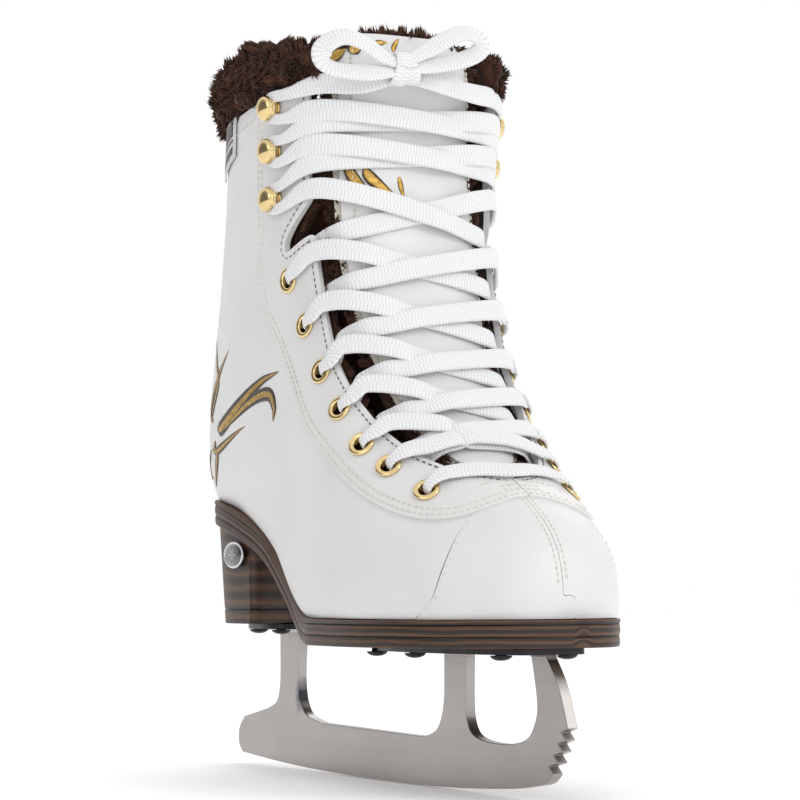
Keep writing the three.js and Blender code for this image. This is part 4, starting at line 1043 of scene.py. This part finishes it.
def sew(thread, dark_thread):
    """All the rows of stitches on the upper."""
    rows = Stitches()
    dark_rows = Stitches()
    outline = even(STAY_LINE, 200)
    inner = even(opening_edge(), 220)
    for sign in (-1, 1):
        for inset in STAY_ROWS:
            line = beside(outline, -inset)
            line = line[line[:, 1] > 0.01]
            rows.on_surface(line[:, 0], sign * line[:, 1], STAY_RISE)
        line = beside(inner, OPENING_ROW)
        line = line[(line[:, 1] > 0.03) & (line[:, 0] < SHAFT_TOP - 0.1)]
        dark_rows.on_surface(line[:, 0], sign * line[:, 1], STAY_RISE, thick=0.24)
        s = np.linspace(0.75, 3.88, 120)
        seam = centre_angle(s, SEAM_X + sign * TOE_ROW)
        rows.on_surface(s, seam, 0.0, pitch=2.2, length=1.5, thick=0.26)
        back = np.linspace(BACKSTAY_LOW + 0.6, SHAFT_TOP - 0.1, 140)
        rows.on_surface(back, math.pi - sign * (BACKSTAY - 0.05), STAY_RISE)
        angle = np.linspace(0.72, float(feather_angle(4.4)) - 0.03, 90)
        rows.on_surface(toe_seam_station(angle) - 0.07, sign * angle, 0.0, pitch=2.8, length=1.4, thick=0.24)
        top = np.linspace(float(stay_edge(17)) + 0.05, math.pi - BACKSTAY - 0.05, 160)
        rows.on_surface(SHAFT_TOP - 0.28, sign * top, 0.0)
    for s_row in (4.62, 4.42, 4.3):
        half = 0.34 if s_row > 4.5 else 0.2
        rows.on_surface(s_row, np.linspace(-half, half, 60), STAY_RISE, pitch=2.2, length=1.5, thick=0.24)
    rows.piece("upper_stitching", thread)
    dark_rows.piece("opening_stitching", dark_thread)


# ---------------------------------------------------------------- fur
def spikes(name, roots, directions, length, material, body, slot, clump=5.0, thick=0.32):
    """Pile: a closed three-sided thread for each root, leaning together in clumps."""
    count = len(roots)
    centres = roots[RANDOM.permutation(count)[:max(8, int(count / 44))]]
    nearest = np.empty(count, int)
    for k in range(0, count, 2000):
        gap = np.linalg.norm(roots[k:k + 2000, None] - centres[None], axis=-1)
        nearest[k:k + 2000] = gap.argmin(1)
    pull = centres[nearest] - roots
    pull *= np.minimum(1, clump / np.maximum(np.linalg.norm(pull, axis=1, keepdims=True), 1e-6)) * 0.55
    lean = RANDOM.normal(0, 0.42, (len(centres), 3))[nearest] + RANDOM.normal(0, 0.16, (count, 3))
    long = length * RANDOM.uniform(0.55, 1.1, (count, 1))
    long = long * RANDOM.uniform(0.6, 1.25, (len(centres), 1))[nearest]
    tip = roots + unit(directions + lean) * long + pull
    axis = unit(tip - roots)
    side = unit(np.cross(axis, RANDOM.normal(0, 1, (count, 3))))
    other = np.cross(axis, side)
    turn = np.array([0, 2, 4]) * math.pi / 3
    ring = side[:, None] * np.cos(turn)[:, None] + other[:, None] * np.sin(turn)[:, None]
    base = roots[:, None] + ring * thick
    middle = (roots + (tip - roots) * 0.6)[:, None] + ring * thick * 0.75
    points = np.concatenate([base, middle, tip[:, None]], 1).reshape(-1, 3)
    one = np.array([(0, 1, 4), (0, 4, 3), (1, 2, 5), (1, 5, 4), (2, 0, 3), (2, 3, 5),
                    (3, 4, 6), (4, 5, 6), (5, 3, 6), (0, 2, 1)])
    faces = (one[None] + (np.arange(count) * 7)[:, None, None]).reshape(-1, 3)
    return mesh_piece(name, points, faces.tolist(), material, body=body, slot=slot)


CUFF_OUT = 8
CUFF_BACK = 7.5
CUFF_UP = 12.5
CUFF_THREADS = 15000
OPENING_THREADS = 9000


def cuff(plush):
    """The padded roll round the top of the shaft, and its pile."""
    around = 150
    sides = 28
    reach = float(opening_angle(SHAFT_TOP)) - 0.05
    angle = np.linspace(reach, 2 * math.pi - reach, around)
    edge = on_last(SHAFT_TOP, angle)
    up = unit(np.array([0, -0.125, 0.992]))
    out = last_normal(SHAFT_TOP, angle)
    out = unit(out - up * (out @ up)[:, None])
    i = np.arange(around) * 26 / (around - 1)
    taper = np.minimum(1, 0.55 + 3 * np.minimum(i, 26 - i) / 26)[:, None]
    turn = turns(sides)
    lumps = 1 + 0.09 * np.sin(angle * 31)[:, None] * np.cos(turn * 2) + 0.07 * np.sin(angle * 17 + 1)[:, None]
    sideways = np.where(np.cos(turn) > 0, CUFF_OUT, CUFF_BACK) * 0.82 * lumps
    rings = (edge[:, None] + out[:, None] * (np.cos(turn) * sideways * taper - 1)[..., None]
             + up * ((1 + np.sin(turn) * 0.88 * lumps) * CUFF_UP * taper * 0.92 + 0.8)[..., None])
    points, faces = loft(rings)
    mesh_piece("cuff_roll", points, faces, plush, replaces=["fur_cuff"], slot="plush")
    u = np.clip(RANDOM.uniform(-5, around + 4, CUFF_THREADS), 0, around - 1.001)
    v = RANDOM.uniform(0, sides, CUFF_THREADS)
    iu = u.astype(int)
    iv = v.astype(int) % sides
    fu = (u - iu)[:, None]
    roots = rings[iu, iv] * (1 - fu) + rings[iu + 1, iv] * fu
    roots = roots + (rings[iu, (iv + 1) % sides] - rings[iu, iv]) * (v % 1)[:, None]
    centre = rings.mean(1)[iu]
    spikes("cuff_pile", roots, unit(roots - centre) + up * 0.1, 3.9, plush, "root", "plush", 7.0, 0.42)


def lining(plush):
    """The plush inside of the boot, and its pile along the edge of the opening."""
    s = np.linspace(THROAT, SHAFT_TOP, 90)
    first = np.maximum(opening_angle(s), 0.05)
    feather = feather_angle(s, 3.4)
    for side, sign in SIDES:
        s2, a2 = grid(s, first, feather, 60)
        outer = on_boot(s2, sign * a2, -LINING_DEPTH)
        inner = on_boot(s2, sign * a2, -LINING_DEPTH - LINING_PILE + wrinkle(outer, 5, 0.25))
        points, faces = shell(outer, inner)
        replaces = ["shaft_lining"] if sign < 0 else ()
        mesh_piece(f"plush_lining_{side}", points, faces, plush, replaces=replaces, slot="plush")
    count = OPENING_THREADS
    station = RANDOM.uniform(THROAT + 0.3, SHAFT_TOP, count)
    sign = RANDOM.choice([-1.0, 1.0], count)
    reach = RANDOM.uniform(-0.02, 0.05, count)
    angle = sign * (opening_angle(station) + reach)
    roots = on_boot(station, angle, 1.2 - LINING_DEPTH)
    inward = np.stack([-sign, np.zeros(count), np.zeros(count)], 1)
    spikes("opening_pile", roots, inward + last_normal(station, angle) * 0.35, 3.2, plush, "root", "plush")


# ---------------------------------------------------------------- tongue
TONGUE_HALF = 27
TONGUE_SHIFT = 2.2
TONGUE_BASE = 4.95
TONGUE_TOP = 18.7
TONGUE_SIDE_THREADS = 11000
TONGUE_TOP_THREADS = 6000


def tongue_edge(s, spare):
    """Half width of the tongue, rounded off at its top."""
    wide = np.minimum(TONGUE_HALF + spare, np.maximum(opening_x(np.minimum(s, 11.5)) - 9, 7) + spare)
    return wide * np.sqrt(1 - np.maximum(0, (s - 17.2) / 2.1) ** 3)


def tongue_shift(s):
    """How far the tongue has slid towards the boot's right by each station."""
    return TONGUE_SHIFT * np.clip((s - 7) / 4, 0, 1)


def tongue_layer(name, spare, outer, thick, top, material, slot, node, crown=0.0):
    """One layer of the tongue, its face at the offset outer, tucked under the throat at its base."""
    s = np.linspace(TONGUE_BASE, top, 150)
    half = tongue_edge(s, spare)
    v = np.linspace(-1, 1, 60)
    s2 = np.repeat(s[:, None], 60, 1)
    a2 = angle_at_x(s2, half[:, None] * v - tongue_shift(s2))
    tuck = 2 * np.clip((6.1 - s2) / 1.1, 0, 1)
    swell = outer - crown * np.abs(v) ** 4 + wrinkle(on_last(s2, a2), 11, 0.12) - tuck
    points, faces = shell(on_boot(s2, a2, swell), on_boot(s2, a2, outer - thick - tuck))
    piece = mesh_piece(name, points, faces, material, body="tongue", replaces=[node], slot=slot)
    return bevel(piece, 0.6, 3)


def tongue(white, plush, foam, thread):
    """Face, foam and plush back of the tongue, with its pile and stitches."""
    tongue_layer("tongue_face", 0, -0.3, 1.7, TONGUE_TOP, white, "white_leather", "tongue_cover", 0.9)
    pad = tongue_layer("tongue_foam", 2.4, -2.7, 4.6, TONGUE_TOP + 0.05, foam, "foam", "tongue_padding")
    tongue_layer("tongue_back", 4, -8, 2.9, TONGUE_TOP + 0.25, plush, "plush", "tongue_lining")
    count = TONGUE_SIDE_THREADS
    station = RANDOM.uniform(TONGUE_BASE + 0.4, TONGUE_TOP + 0.2, count)
    sign = RANDOM.choice([-1.0, 1.0], count)
    x = sign * (tongue_edge(station, 0) + RANDOM.uniform(0.6, 5.5, count)) - tongue_shift(station)
    angle = angle_at_x(station, x)
    roots = on_boot(station, angle, -3.4 - RANDOM.uniform(0, 2, count))
    direction = last_normal(station, angle) + np.stack([sign * 0.55, np.zeros(count), np.zeros(count)], 1)
    spikes("tongue_side_pile", roots, direction, 3.6, plush, "tongue", "plush")
    count = TONGUE_TOP_THREADS
    share = RANDOM.uniform(-1, 1, count)
    x = share * 29 - TONGUE_SHIFT
    station = TONGUE_TOP - 0.85 * np.abs(share) ** 2.6
    angle = angle_at_x(station, x * 0.93)
    depth = RANDOM.uniform(-9.5, -1.8, count)
    roots = on_boot(station, angle, depth)
    direction = np.stack([share * 0.6, np.full(count, -0.1), np.ones(count)], 1)
    spikes("tongue_top_pile", roots, direction, 5.0, plush, "tongue", "plush")
    rows = Stitches()
    s = np.linspace(TONGUE_BASE + 1.5, TONGUE_TOP - 0.35, 160)
    for sign in (-1, 1):
        rows.on_surface(s, sign * angle_at_x(s, tongue_edge(s, 0) - 2.4), -0.35)
    rows.piece("tongue_stitching", thread, body="tongue")


# ---------------------------------------------------------------- printed sprays
def leaf(points, wide, thick, columns=7):
    """A thin raised leaf along a line of (station, angle, lift) points, pointed at both ends."""
    line = through(points, 12)
    share = np.linspace(0, 1, len(line))
    half = wide * np.sin(math.pi * share ** 0.75) ** 0.8 / 2 + 0.05
    middle = on_last(line[:, 0], line[:, 1])
    normal = last_normal(line[:, 0], line[:, 1])
    side = unit(np.cross(normal, np.gradient(middle, axis=0)))
    v = np.linspace(-1, 1, columns)
    flat = middle[:, None] + side[:, None] * (half[:, None] * v)[..., None]
    lift = line[:, 2][:, None, None] * normal[:, None]
    return shell(flat + lift + normal[:, None] * thick, flat + lift - normal[:, None] * 0.05)


SPRAY_ROOT = (12.3, 2.14)
SPRAY_START = 0.22  # each leaf starts this share of the way out from the root
SPRAY = [  # tip station, tip angle, width, bend
    (10.8, 1.52, 5.6, 0.16), (9.9, 1.45, 5.2, -0.2), (11.2, 1.95, 3.0, 0.1), (11.75, 2.3, 2.6, -0.08),
    (12.2, 2.42, 2.4, 0.1), (13.1, 1.86, 3.2, 0.12), (13.9, 1.98, 2.6, -0.12)]
TONGUE_SPRAY = [  # root station and x, tip station and x, width
    (13.7, -27, 11.75, -13, 4.6), (13.3, -20, 12.3, -8, 5.0), (13.0, -6, 12.25, -4.5, 2.2),
    (17.7, -31, 18.1, -26, 4.4), (17.95, -24, 18.3, -19, 4.6), (18.35, -14, 18.42, -9, 2.2),
    (18.1, -7, 18.6, -4, 2.0)]


def sprays(ink, gold):
    """The printed leaves: dark shapes with gold inside, on both sides and the tongue."""
    for side, sign in SIDES:
        dark = []
        bright = []
        s0, a0 = SPRAY_ROOT
        for s1, a1, wide, bend in SPRAY:
            line = []
            for share in (0, 0.35, 0.7, 1):
                at = SPRAY_START + (1 - SPRAY_START) * share
                sway = bend * math.sin(math.pi * share * 1.3)
                line.append((s0 + (s1 - s0) * at + sway * 2, sign * (a0 + (a1 - a0) * at + sway), 0.0))
            dark.append(leaf(line, wide, 0.14))
            bright.append(leaf([(s, a, 0.12) for s, a, _ in line], wide * 0.4, 0.06))
        joined_piece(f"side_spray_ink_{side}", dark, ink, slot="badge_enamel")
        joined_piece(f"side_spray_foil_{side}", bright, gold, slot="brass")
    dark = []
    bright = []
    for s0, x0, s1, x1, wide in TONGUE_SPRAY:
        line = []
        for share in (0, 0.35, 0.7, 1):
            s = s0 + (s1 - s0) * share
            x = x0 + (x1 - x0) * share ** 1.7
            line.append((s, float(angle_at_x(s, x)), -0.42))
        dark.append(leaf(line, wide, 0.3))
        bright.append(leaf([(s, a, h + 0.28) for s, a, h in line], wide * 0.72, 0.06))
    joined_piece("tongue_spray_ink", dark, ink, body="tongue", slot="badge_enamel")
    joined_piece("tongue_spray_foil", bright, gold, body="tongue", slot="brass")


# ---------------------------------------------------------------- eyelets and hooks
def fittings(brass):
    """Rolled eyelets and speed hooks."""
    seat = STAY_TOP
    rim = [(EYELET_BORE, -LEATHER - GAP), (EYELET_BORE + 0.45, -LEATHER - GAP),
           (EYELET_BORE + 0.5, seat - 0.2)]
    for turn in np.linspace(-0.5, math.pi, 14):
        rim.append((3.75 + 1.0 * math.cos(turn), seat + 0.2 + 0.6 * math.sin(turn)))
    rim.append((EYELET_BORE, seat - 0.1))
    for side, sign in SIDES:
        for k, (s, a) in enumerate(EYELETS, 1):
            points, faces = lathe(rim + rim[:1], 44)
            mesh_piece(f"brass_eyelet_{side}_{k}", placed(points, s, sign * a), faces, brass,
                       replaces=[f"eyelet_{side}_{k}"], slot="brass")
        for k, (s, a) in enumerate(HOOKS, 1):
            points, faces, _ = join(hook_parts())
            points = points * np.array([sign, sign, 1])
            mesh_piece(f"brass_hook_{side}_{k}", placed(points, s, sign * a), faces, brass,
                       replaces=[f"hook_{side}_{k}"], slot="brass")


def hook_parts():
    """A speed hook with its neck towards -X."""
    seat = STAY_TOP
    base = [(0.01, seat)] + [(HOOK - 0.7 + 0.35 * math.cos(t), seat + 0.35 + 0.35 * math.sin(t))
                             for t in np.linspace(-math.pi / 2, math.pi / 2, 8)] + [(0.01, seat + 0.8)]
    low = seat + HOOK_PLATE + HOOK_THROAT
    lip = [(0.01, low + 0.35)]
    lip += [(HOOK - 0.3 + 0.3 * math.cos(t), low + 0.1 + 0.3 * math.sin(t))
            for t in np.linspace(-math.pi * 0.6, math.pi * 0.3, 9)]
    lip += [((HOOK - 0.1) * math.cos(t), low + 0.35 + 2.3 * math.sin(t)) for t in np.linspace(0.12, 1.5, 16)]
    lip += [(0.01, low + 2.65)]
    neck = []
    half = HOOK_NECK_HALF
    radius = (low - seat) / 2
    middle = seat + radius + 0.35
    for t in np.linspace(math.pi / 2, math.pi * 1.5, 24):
        x = -HOOK_NECK + 1.1 + 2.4 * math.cos(t)
        z = middle + radius * math.sin(t)
        grow = unit(np.array([math.cos(t) * radius, math.sin(t) * 2.4]))
        ring = [(x + grow[0] * o, y, z + grow[1] * o)
                for o, y in ((-0.4, -half), (0.25, -half), (0.55, -half / 2), (0.6, 0), (0.55, half / 2),
                             (0.25, half), (-0.4, half))]
        neck.append(ring)
    return [lathe(base, 40), lathe(lip, 44), loft(neck)]


# ---------------------------------------------------------------- sole and heel
PLAN = through(SOLE_PLAN, 14, closed=True)
LEFT_GRAIN = 400  # the left edge shows another stretch of the pattern


def plan_half(y, side):
    """Where the sole's outline crosses each y, on its right (-1) or left (1) side."""
    closed = np.concatenate([PLAN, PLAN[:1]])
    best = []
    for value in y:
        crossing = []
        for (x0, y0), (x1, y1) in zip(closed, closed[1:], strict=False):
            if (y0 - value) * (y1 - value) <= 0 and y0 != y1:
                crossing.append(x0 + (x1 - x0) * (value - y0) / (y1 - y0))
        best.append((max if side > 0 else min)(crossing) if crossing else 0.0)
    return np.array(best)


def sole_layer(name, high, low, inset, material, node):
    """One layer of the sole, between two depths under its top, with rounded edges."""
    y0 = PLAN[:, 1].min() + inset + 0.05  # just inside the ends, where the outline has no width
    y1 = PLAN[:, 1].max() - inset - 0.05
    share = (1 - np.cos(np.linspace(0, math.pi, 170))) / 2
    y = y0 + (y1 - y0) * share
    right = plan_half(y, -1)
    left = plan_half(y, 1)
    round_edge = min(0.35, (high - low) * 0.25)
    middle = (right + left) / 2
    half = np.maximum((left - right) / 2 - inset, 0.15)
    top = sole_top(y)
    ring = []
    for side in (-1, 1):
        for v in np.linspace(0, 1, 8)[::-side]:
            ring.append((side, round_edge * (math.cos((v - 0.5) * math.pi) - 1), v))
    rings = np.empty((len(y), len(ring), 3))
    uv = np.empty((len(y), len(ring), 2))
    run = np.concatenate([[0], np.cumsum(np.hypot(np.diff(y), np.diff(half)))])
    for j, (side, x, v) in enumerate(ring):
        depth = low + (high - low) * v
        rings[:, j, 0] = middle + side * np.maximum(half + x, 0.1)
        rings[:, j, 1] = y
        rings[:, j, 2] = top + depth
        uv[:, j, 0] = run + (LEFT_GRAIN if side > 0 else 0)
        uv[:, j, 1] = depth
    points, faces = loft(rings)
    flat_uv = np.concatenate([uv.reshape(-1, 2), uv[0, :1], uv[-1, :1]])
    mesh_piece(name, points, faces, material, replaces=[node], slot="stacked_sole", uv=flat_uv)


HEEL_FLOOR = 58
LIFT = 5.5
SOLE = 9.5
HEEL_TAPER = 0.92
HEEL_MIDDLE = 70  # the y that the heel narrows towards
HEEL_GRAIN = 0.42  # the heel's layers are this much closer in the pattern than the sole's
HEEL_PLAN = [(-31, 61), (-31, 75), (-30, 88), (-26, 101), (-16, 111), (0, 115.2),
             (16, 111), (26, 101), (30, 88), (31, 75), (31, 61)]
HEEL_BREAST = [(31, 61), (26, 59.5), (12, 62.5), (0, 63.4), (-12, 62.5), (-26, 59.5), (-31, 61)]
BREAST_LEAN = 4


def heel(material):
    """The stacked block and its lift, narrowing downwards, with a hollow breast."""
    plan = np.concatenate([through(HEEL_PLAN, 10), through(HEEL_BREAST, 10)[1:-1]])
    run = lengths_along(plan)
    top_height = SEAT_TOP + 2

    def ring(z):
        low = (top_height - z) / (top_height - HEEL_FLOOR)
        scale = 1 - (1 - HEEL_TAPER) * low
        breast = np.where(plan[:, 1] < HEEL_MIDDLE, BREAST_LEAN * low, 0)
        return np.stack([plan[:, 0] * scale, HEEL_MIDDLE + (plan[:, 1] - HEEL_MIDDLE) * scale + breast, z], 1)

    def body(name, bottom, top, node, slot):
        levels = np.linspace(0, 1, 15)
        rings = [ring(bottom + (top - bottom) * share) for share in levels]
        rings[0] = rings[0] * [0.985, 1, 1] + [0, 0.5 * 0.985, 0]
        points, faces = loft(rings)
        uv = np.stack([np.tile(run, len(levels)), points[:-2, 2] * HEEL_GRAIN], 1)
        uv = np.concatenate([uv, uv[:1], uv[-1:]])
        bevel(mesh_piece(name, points, faces, material, replaces=[node], slot=slot, uv=uv), 0.5, 3, 50)

    lift_top = HEEL_FLOOR + LIFT
    body("stacked_heel", lift_top + 0.15, sole_top(plan[:, 1]) - SOLE + 0.1, "heel_block", "stacked_sole")
    body("heel_cap", HEEL_FLOOR, np.full(len(plan), lift_top), "heel_lift", "rubber_lift")


# ---------------------------------------------------------------- badge and label
BADGE = (-30.2, 74, 85)
BADGE_LENGTH = 19
BADGE_HEIGHT = 10.5
BADGE_LEAN = 0.03
STAR_REACH = 3.4


def badge(enamel, silver):
    """An oval plate on the heel with a raised ring and a six-pointed star."""
    along = unit(np.array([-BADGE_LEAN, -1, 0.0]))
    out = unit(np.array([-1, BADGE_LEAN, 0.0]))
    axes = np.stack([along, [0, 0, 1.0], out])
    middle = np.array(BADGE)
    a = BADGE_LENGTH / 2
    b = BADGE_HEIGHT / 2

    def dish(profile, sides=64):
        turn = turns(sides)
        rings = [np.stack([(a + r) * k * np.cos(turn), (b + r) * k * np.sin(turn), np.full(sides, z)], 1)
                 for k, r, z in profile]
        points, faces = loft(rings)
        return points @ axes + middle, faces

    face = dish([(0.2, 0, 0.1), (1, -0.4, 0.1), (1, -0.4, 1.2), (0.85, 0, 1.55), (0.5, 0, 1.8),
                 (0.2, 0, 1.9)])
    mesh_piece("badge_face", *face, enamel, replaces=["badge"], slot="badge_enamel")
    turn = turns(80)
    small = turns(10)
    ring = np.stack([(a - 0.5 + 0.55 * np.cos(small)) * np.cos(turn)[:, None],
                     (b - 0.5 + 0.55 * np.cos(small)) * np.sin(turn)[:, None],
                     np.broadcast_to(1.35 + 0.55 * np.sin(small), (80, 10))], -1)
    faces = grid_faces(81, 10, wrap=True) % 800  # the ring's last row of points is its first
    mesh_piece("badge_ring", ring.reshape(-1, 3) @ axes + middle, faces, silver, slot="dark_steel")
    star = []
    for k in range(6):
        t = k * math.pi / 3
        tip = np.array([math.cos(t), math.sin(t)]) * STAR_REACH
        side = np.array([-math.sin(t), math.cos(t)]) * 0.34
        mid = tip * 0.45
        outline = [tip * 0.05, mid + side, tip, mid - side]
        star.append(loft([[(*p, z) for p in outline] for z in (1.75, 2.02)]))
    points, faces, _ = join(star)
    mesh_piece("badge_star", points @ axes + middle, faces, silver, slot="dark_steel", smooth=False)


def label(cloth, ink):
    """A woven tag under the cuff with plain bars."""
    s = np.linspace(16.42, SHAFT_TOP + 0.02, 30)
    s2, a2 = grid(s, np.full(30, -2.16), np.full(30, -1.74), 24)
    points, faces = shell(on_boot(s2, a2, 1.0), on_boot(s2, a2, 0.4))
    bevel(mesh_piece("woven_label", points, faces, cloth, replaces=["side_label"], slot="label"), 0.15)
    bars = []
    for low, high in ((16.5, 16.6), (16.66, 16.7), (16.74, 16.97)):
        s2, a2 = grid(np.linspace(low, high, 8), np.full(8, -2.12), np.full(8, -1.79), 20)
        bars.append(shell(on_boot(s2, a2, 1.12), on_boot(s2, a2, 0.95)))
    joined_piece("label_bars", bars, ink, slot="dark_steel")


# ---------------------------------------------------------------- blade, plates and screws
BLADE = 4
FACET = 12
ROCKER_REAR = 1700
ROCKER_FRONT = 1100
RUNNER_TOP = 18.4
BLADE_TAIL = 134
PICK = -127.5
PICK_TEETH = 5
REAR_UPRIGHT = (75, 94)
MID_UPRIGHT = (-59, -43)
FRONT_UPRIGHT = (-114, -104)
PLATE = 2
SOLE_PLATE_LOW = FOREFOOT_TOP - SOLE - GAP - PLATE
HEEL_PLATE_LOW = HEEL_FLOOR - GAP - PLATE
FILLET = 1.6


def runner_low(y):
    """Height of the running edge, rockered outside the flat."""
    past = np.maximum(np.abs(y) - FACET, 0)
    return past ** 2 / (2 * np.where(np.asarray(y) > 0, ROCKER_REAR, ROCKER_FRONT))


def blade_outline():
    """The blade's side view as (y, z), from its lowest flat back round the tail to the toe pick."""
    points = [(-FACET, 0), (FACET, 0)]

    def curve(*more):
        points.extend(through([points[-1], *more], 10)[1:].tolist())

    rear = np.linspace(20, BLADE_TAIL - 3, 24)
    points.extend(zip(rear.tolist(), runner_low(rear).tolist(), strict=True))
    curve((BLADE_TAIL + 0.5, 8), (BLADE_TAIL, 14), (BLADE_TAIL - 5, 19))
    a, b = REAR_UPRIGHT
    points.append((b + 12, 23.2))
    curve((b + 3.5, 26.4), (b + 0.6, 33), (b, 41))
    points.extend([(b, HEEL_PLATE_LOW - 0.1), (a, HEEL_PLATE_LOW - 0.1)])
    curve((a + 2, 45), (a + 2.4, 35), (a + 0.5, 27), (a - 5, 21.8), (a - 18, RUNNER_TOP + 0.7))
    a, b = MID_UPRIGHT
    points.append((b + 20, RUNNER_TOP - 0.6))
    curve((b + 13, RUNNER_TOP), (b + 6, 21), (b + 2, 26.5), (b + 0.3, 34))
    points.extend([(b, SOLE_PLATE_LOW - 0.1), (a, SOLE_PLATE_LOW - 0.1)])
    c, d = FRONT_UPRIGHT
    curve((a + 0.4, 32), (a - 1, 24), (a - 6, 19.6), (a - 18, RUNNER_TOP - 0.5), (a - 32, RUNNER_TOP - 0.2),
          (d + 3, 20.6), (d - 2, 26), (d - 3.5, 33), (d, SOLE_PLATE_LOW - 0.1))
    points.append((c, SOLE_PLATE_LOW - 0.1))
    curve((-121, 40), (-124.8, 32), (PICK, 24.8))
    for i in range(1, PICK_TEETH):
        t = i / (PICK_TEETH - 1)
        tip = (PICK + (-118 - PICK) * t ** 1.4, 24.8 + (9.2 - 24.8) * t)
        points.append((tip[0] + 3, tip[1] + 2.6))
        points.append(tip)
    curve((-113, 6), (-104, 4.4), (-92, 2.9), (-75, 1.8))
    front = np.linspace(-60, -20, 8)
    points.extend(zip(front.tolist(), runner_low(front).tolist(), strict=True))
    return np.array(points)


def blade(steel):
    """The ground runner with its uprights, and the fillets under the plates."""
    outline = blade_outline()
    count = len(outline)
    half = BLADE / 2
    points = np.concatenate([np.insert(outline, 0, -half, 1), np.insert(outline, 0, half, 1)])
    index = np.arange(count)
    after = np.roll(index, -1)
    faces = np.stack([index, after, after + count, index + count], -1).tolist()
    faces += [index.tolist(), (index + count)[::-1].tolist()]
    piece = mesh_piece("ground_blade", points, faces, steel, replaces=["blade"], slot="blade_steel")
    bevel(piece, 0.35, 3, 50)
    weld = []
    for (a, b), z in ((REAR_UPRIGHT, HEEL_PLATE_LOW), (MID_UPRIGHT, SOLE_PLATE_LOW),
                      (FRONT_UPRIGHT, SOLE_PLATE_LOW)):
        rings = []
        for t in np.linspace(0, math.pi / 2, 8):
            r = FILLET * (1 - math.sin(t))
            rise = FILLET * (1 - math.cos(t))
            rings.append([(x, y, z - 0.05 - rise) for x, y in rounded_box(half + r, a - r, b + r, 0.8 + r)])
        weld.append(loft(rings))
    joined_piece("brazed_fillets", weld, steel, slot="blade_steel")


def rounded_box(half, y0, y1, radius, steps=6):
    """Outline of a rounded rectangle in the plane of the floor."""
    points = []
    for x, y, start in ((half - radius, y1 - radius, 0), (-half + radius, y1 - radius, 90),
                        (-half + radius, y0 + radius, 180), (half - radius, y0 + radius, 270)):
        for t in np.radians(np.linspace(start, start + 90, steps)):
            points.append((x + radius * math.cos(t), y + radius * math.sin(t)))
    return points


SCREW_HEAD = 1.8
SCREW_DOME = 1.75


def screws(dark):
    """Domed heads and plain shanks, over the design's screws."""
    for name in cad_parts:
        if "screw" not in name:
            continue
        low, high = (np.array(corner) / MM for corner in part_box(name))
        x, y = (low[:2] + high[:2]) / 2
        radius = (high[0] - low[0]) / 2
        seat = low[2] + SCREW_HEAD
        dome = [(0.01, seat)] + [(radius * math.cos(t), seat - SCREW_DOME * math.sin(t))
                                 for t in np.linspace(0, math.pi / 2 - 0.02, 10)]
        points, faces = lathe(dome[::-1] + [dome[-1]], 36)
        shank = lathe([(0.01, high[2]), (2.0, high[2] - 0.4), (2.0, seat - 0.2), (0.01, seat - 0.2)], 20)
        points, faces, _ = join([(points, faces), shank])
        points = points + [x, y, 0]
        mesh_piece(f"dome_{name}", points, faces, dark, replaces=[name], slot="dark_steel")


# ---------------------------------------------------------------- everything
def dress_cad(name, material, round_edge):
    """Gives a node of the design that stays visible its material, and softens its edges."""
    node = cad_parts[name]
    node.data.materials.clear()
    node.data.materials.append(material)
    if round_edge:
        bevel(node, round_edge)


def main():
    camera()
    lace()
    studio()
    white = leather_material("white_leather", (0.74, 0.735, 0.73), (0.69, 0.685, 0.68))
    thread = noisy("thread", (0.66, 0.63, 0.56), 0.8, 0, 300, 0.05)
    plush = plush_material("brown_plush")
    foam = noisy("foam", (0.7, 0.66, 0.58), 0.95, 0, 400, 0.2)
    brass = noisy("brass", (0.78, 0.6, 0.3), 0.12, 1.0, 60, 0.015, 0.08)
    # Near-black steel for the plates, shank and screws: the plates' darkness is painted shade, the shadow
    # they sit in under the sole and heel, not a blackened finish.
    dark = noisy("steel_with_painted_shade", (0.035, 0.034, 0.036), 0.35, 0.8, 80, 0.08)
    steel = steel_material()
    stacked = stacked_material("stacked_leather")
    enamel = noisy("enamel", (0.008, 0.008, 0.01), 0.18, 0, 60, 0.02, Coat_Weight=0.8)
    silver = noisy("silver", (0.62, 0.62, 0.64), 0.25, 1.0, 90, 0.02)
    ink = noisy("ink", (0.03, 0.02, 0.014), 0.4, 0, 90, 0.02)
    gold = noisy("gold_foil", (0.42, 0.26, 0.06), 0.35, 0.75, 700, 0.06, 0.45)
    cloth = noisy("label_cloth", (0.62, 0.62, 0.64), 0.8, 0, 500, 0.08)
    board = noisy("fibreboard", (0.36, 0.27, 0.18), 0.8, 0, 250, 0.15)
    felt = noisy("stiff_felt", (0.45, 0.42, 0.38), 0.9, 0, 350, 0.2)
    upper(white)
    sew(thread, noisy("dark_thread", (0.16, 0.12, 0.1), 0.8, 0, 300, 0.05))
    cuff(plush)
    lining(plush)
    tongue(white, plush, foam, thread)
    sprays(ink, gold)
    fittings(brass)
    sole_layer("welt_strip", 0, -1.6, 0.0, stacked, "welt")
    sole_layer("mid_sole", -1.75, -5.65, 0.12, stacked, "midsole")
    sole_layer("under_sole", -5.8, -9.5, 0.24, stacked, "outsole")
    heel(stacked)
    badge(enamel, silver)
    label(cloth, ink)
    blade(steel)
    screws(dark)
    # The plates and shank take the near-black steel above, whose colour is painted shade.
    for name, material, edge in (
            ("sole_plate", dark, 0.3), ("heel_plate", dark, 0.3), ("shank", dark, 0),
            ("insole_board", board, 0), ("toe_puff", felt, 0), ("heel_counter", felt, 0),
            ("toe_lining", plush, 0), ("footbed", plush, 0)):
        dress_cad(name, material, edge)


main()
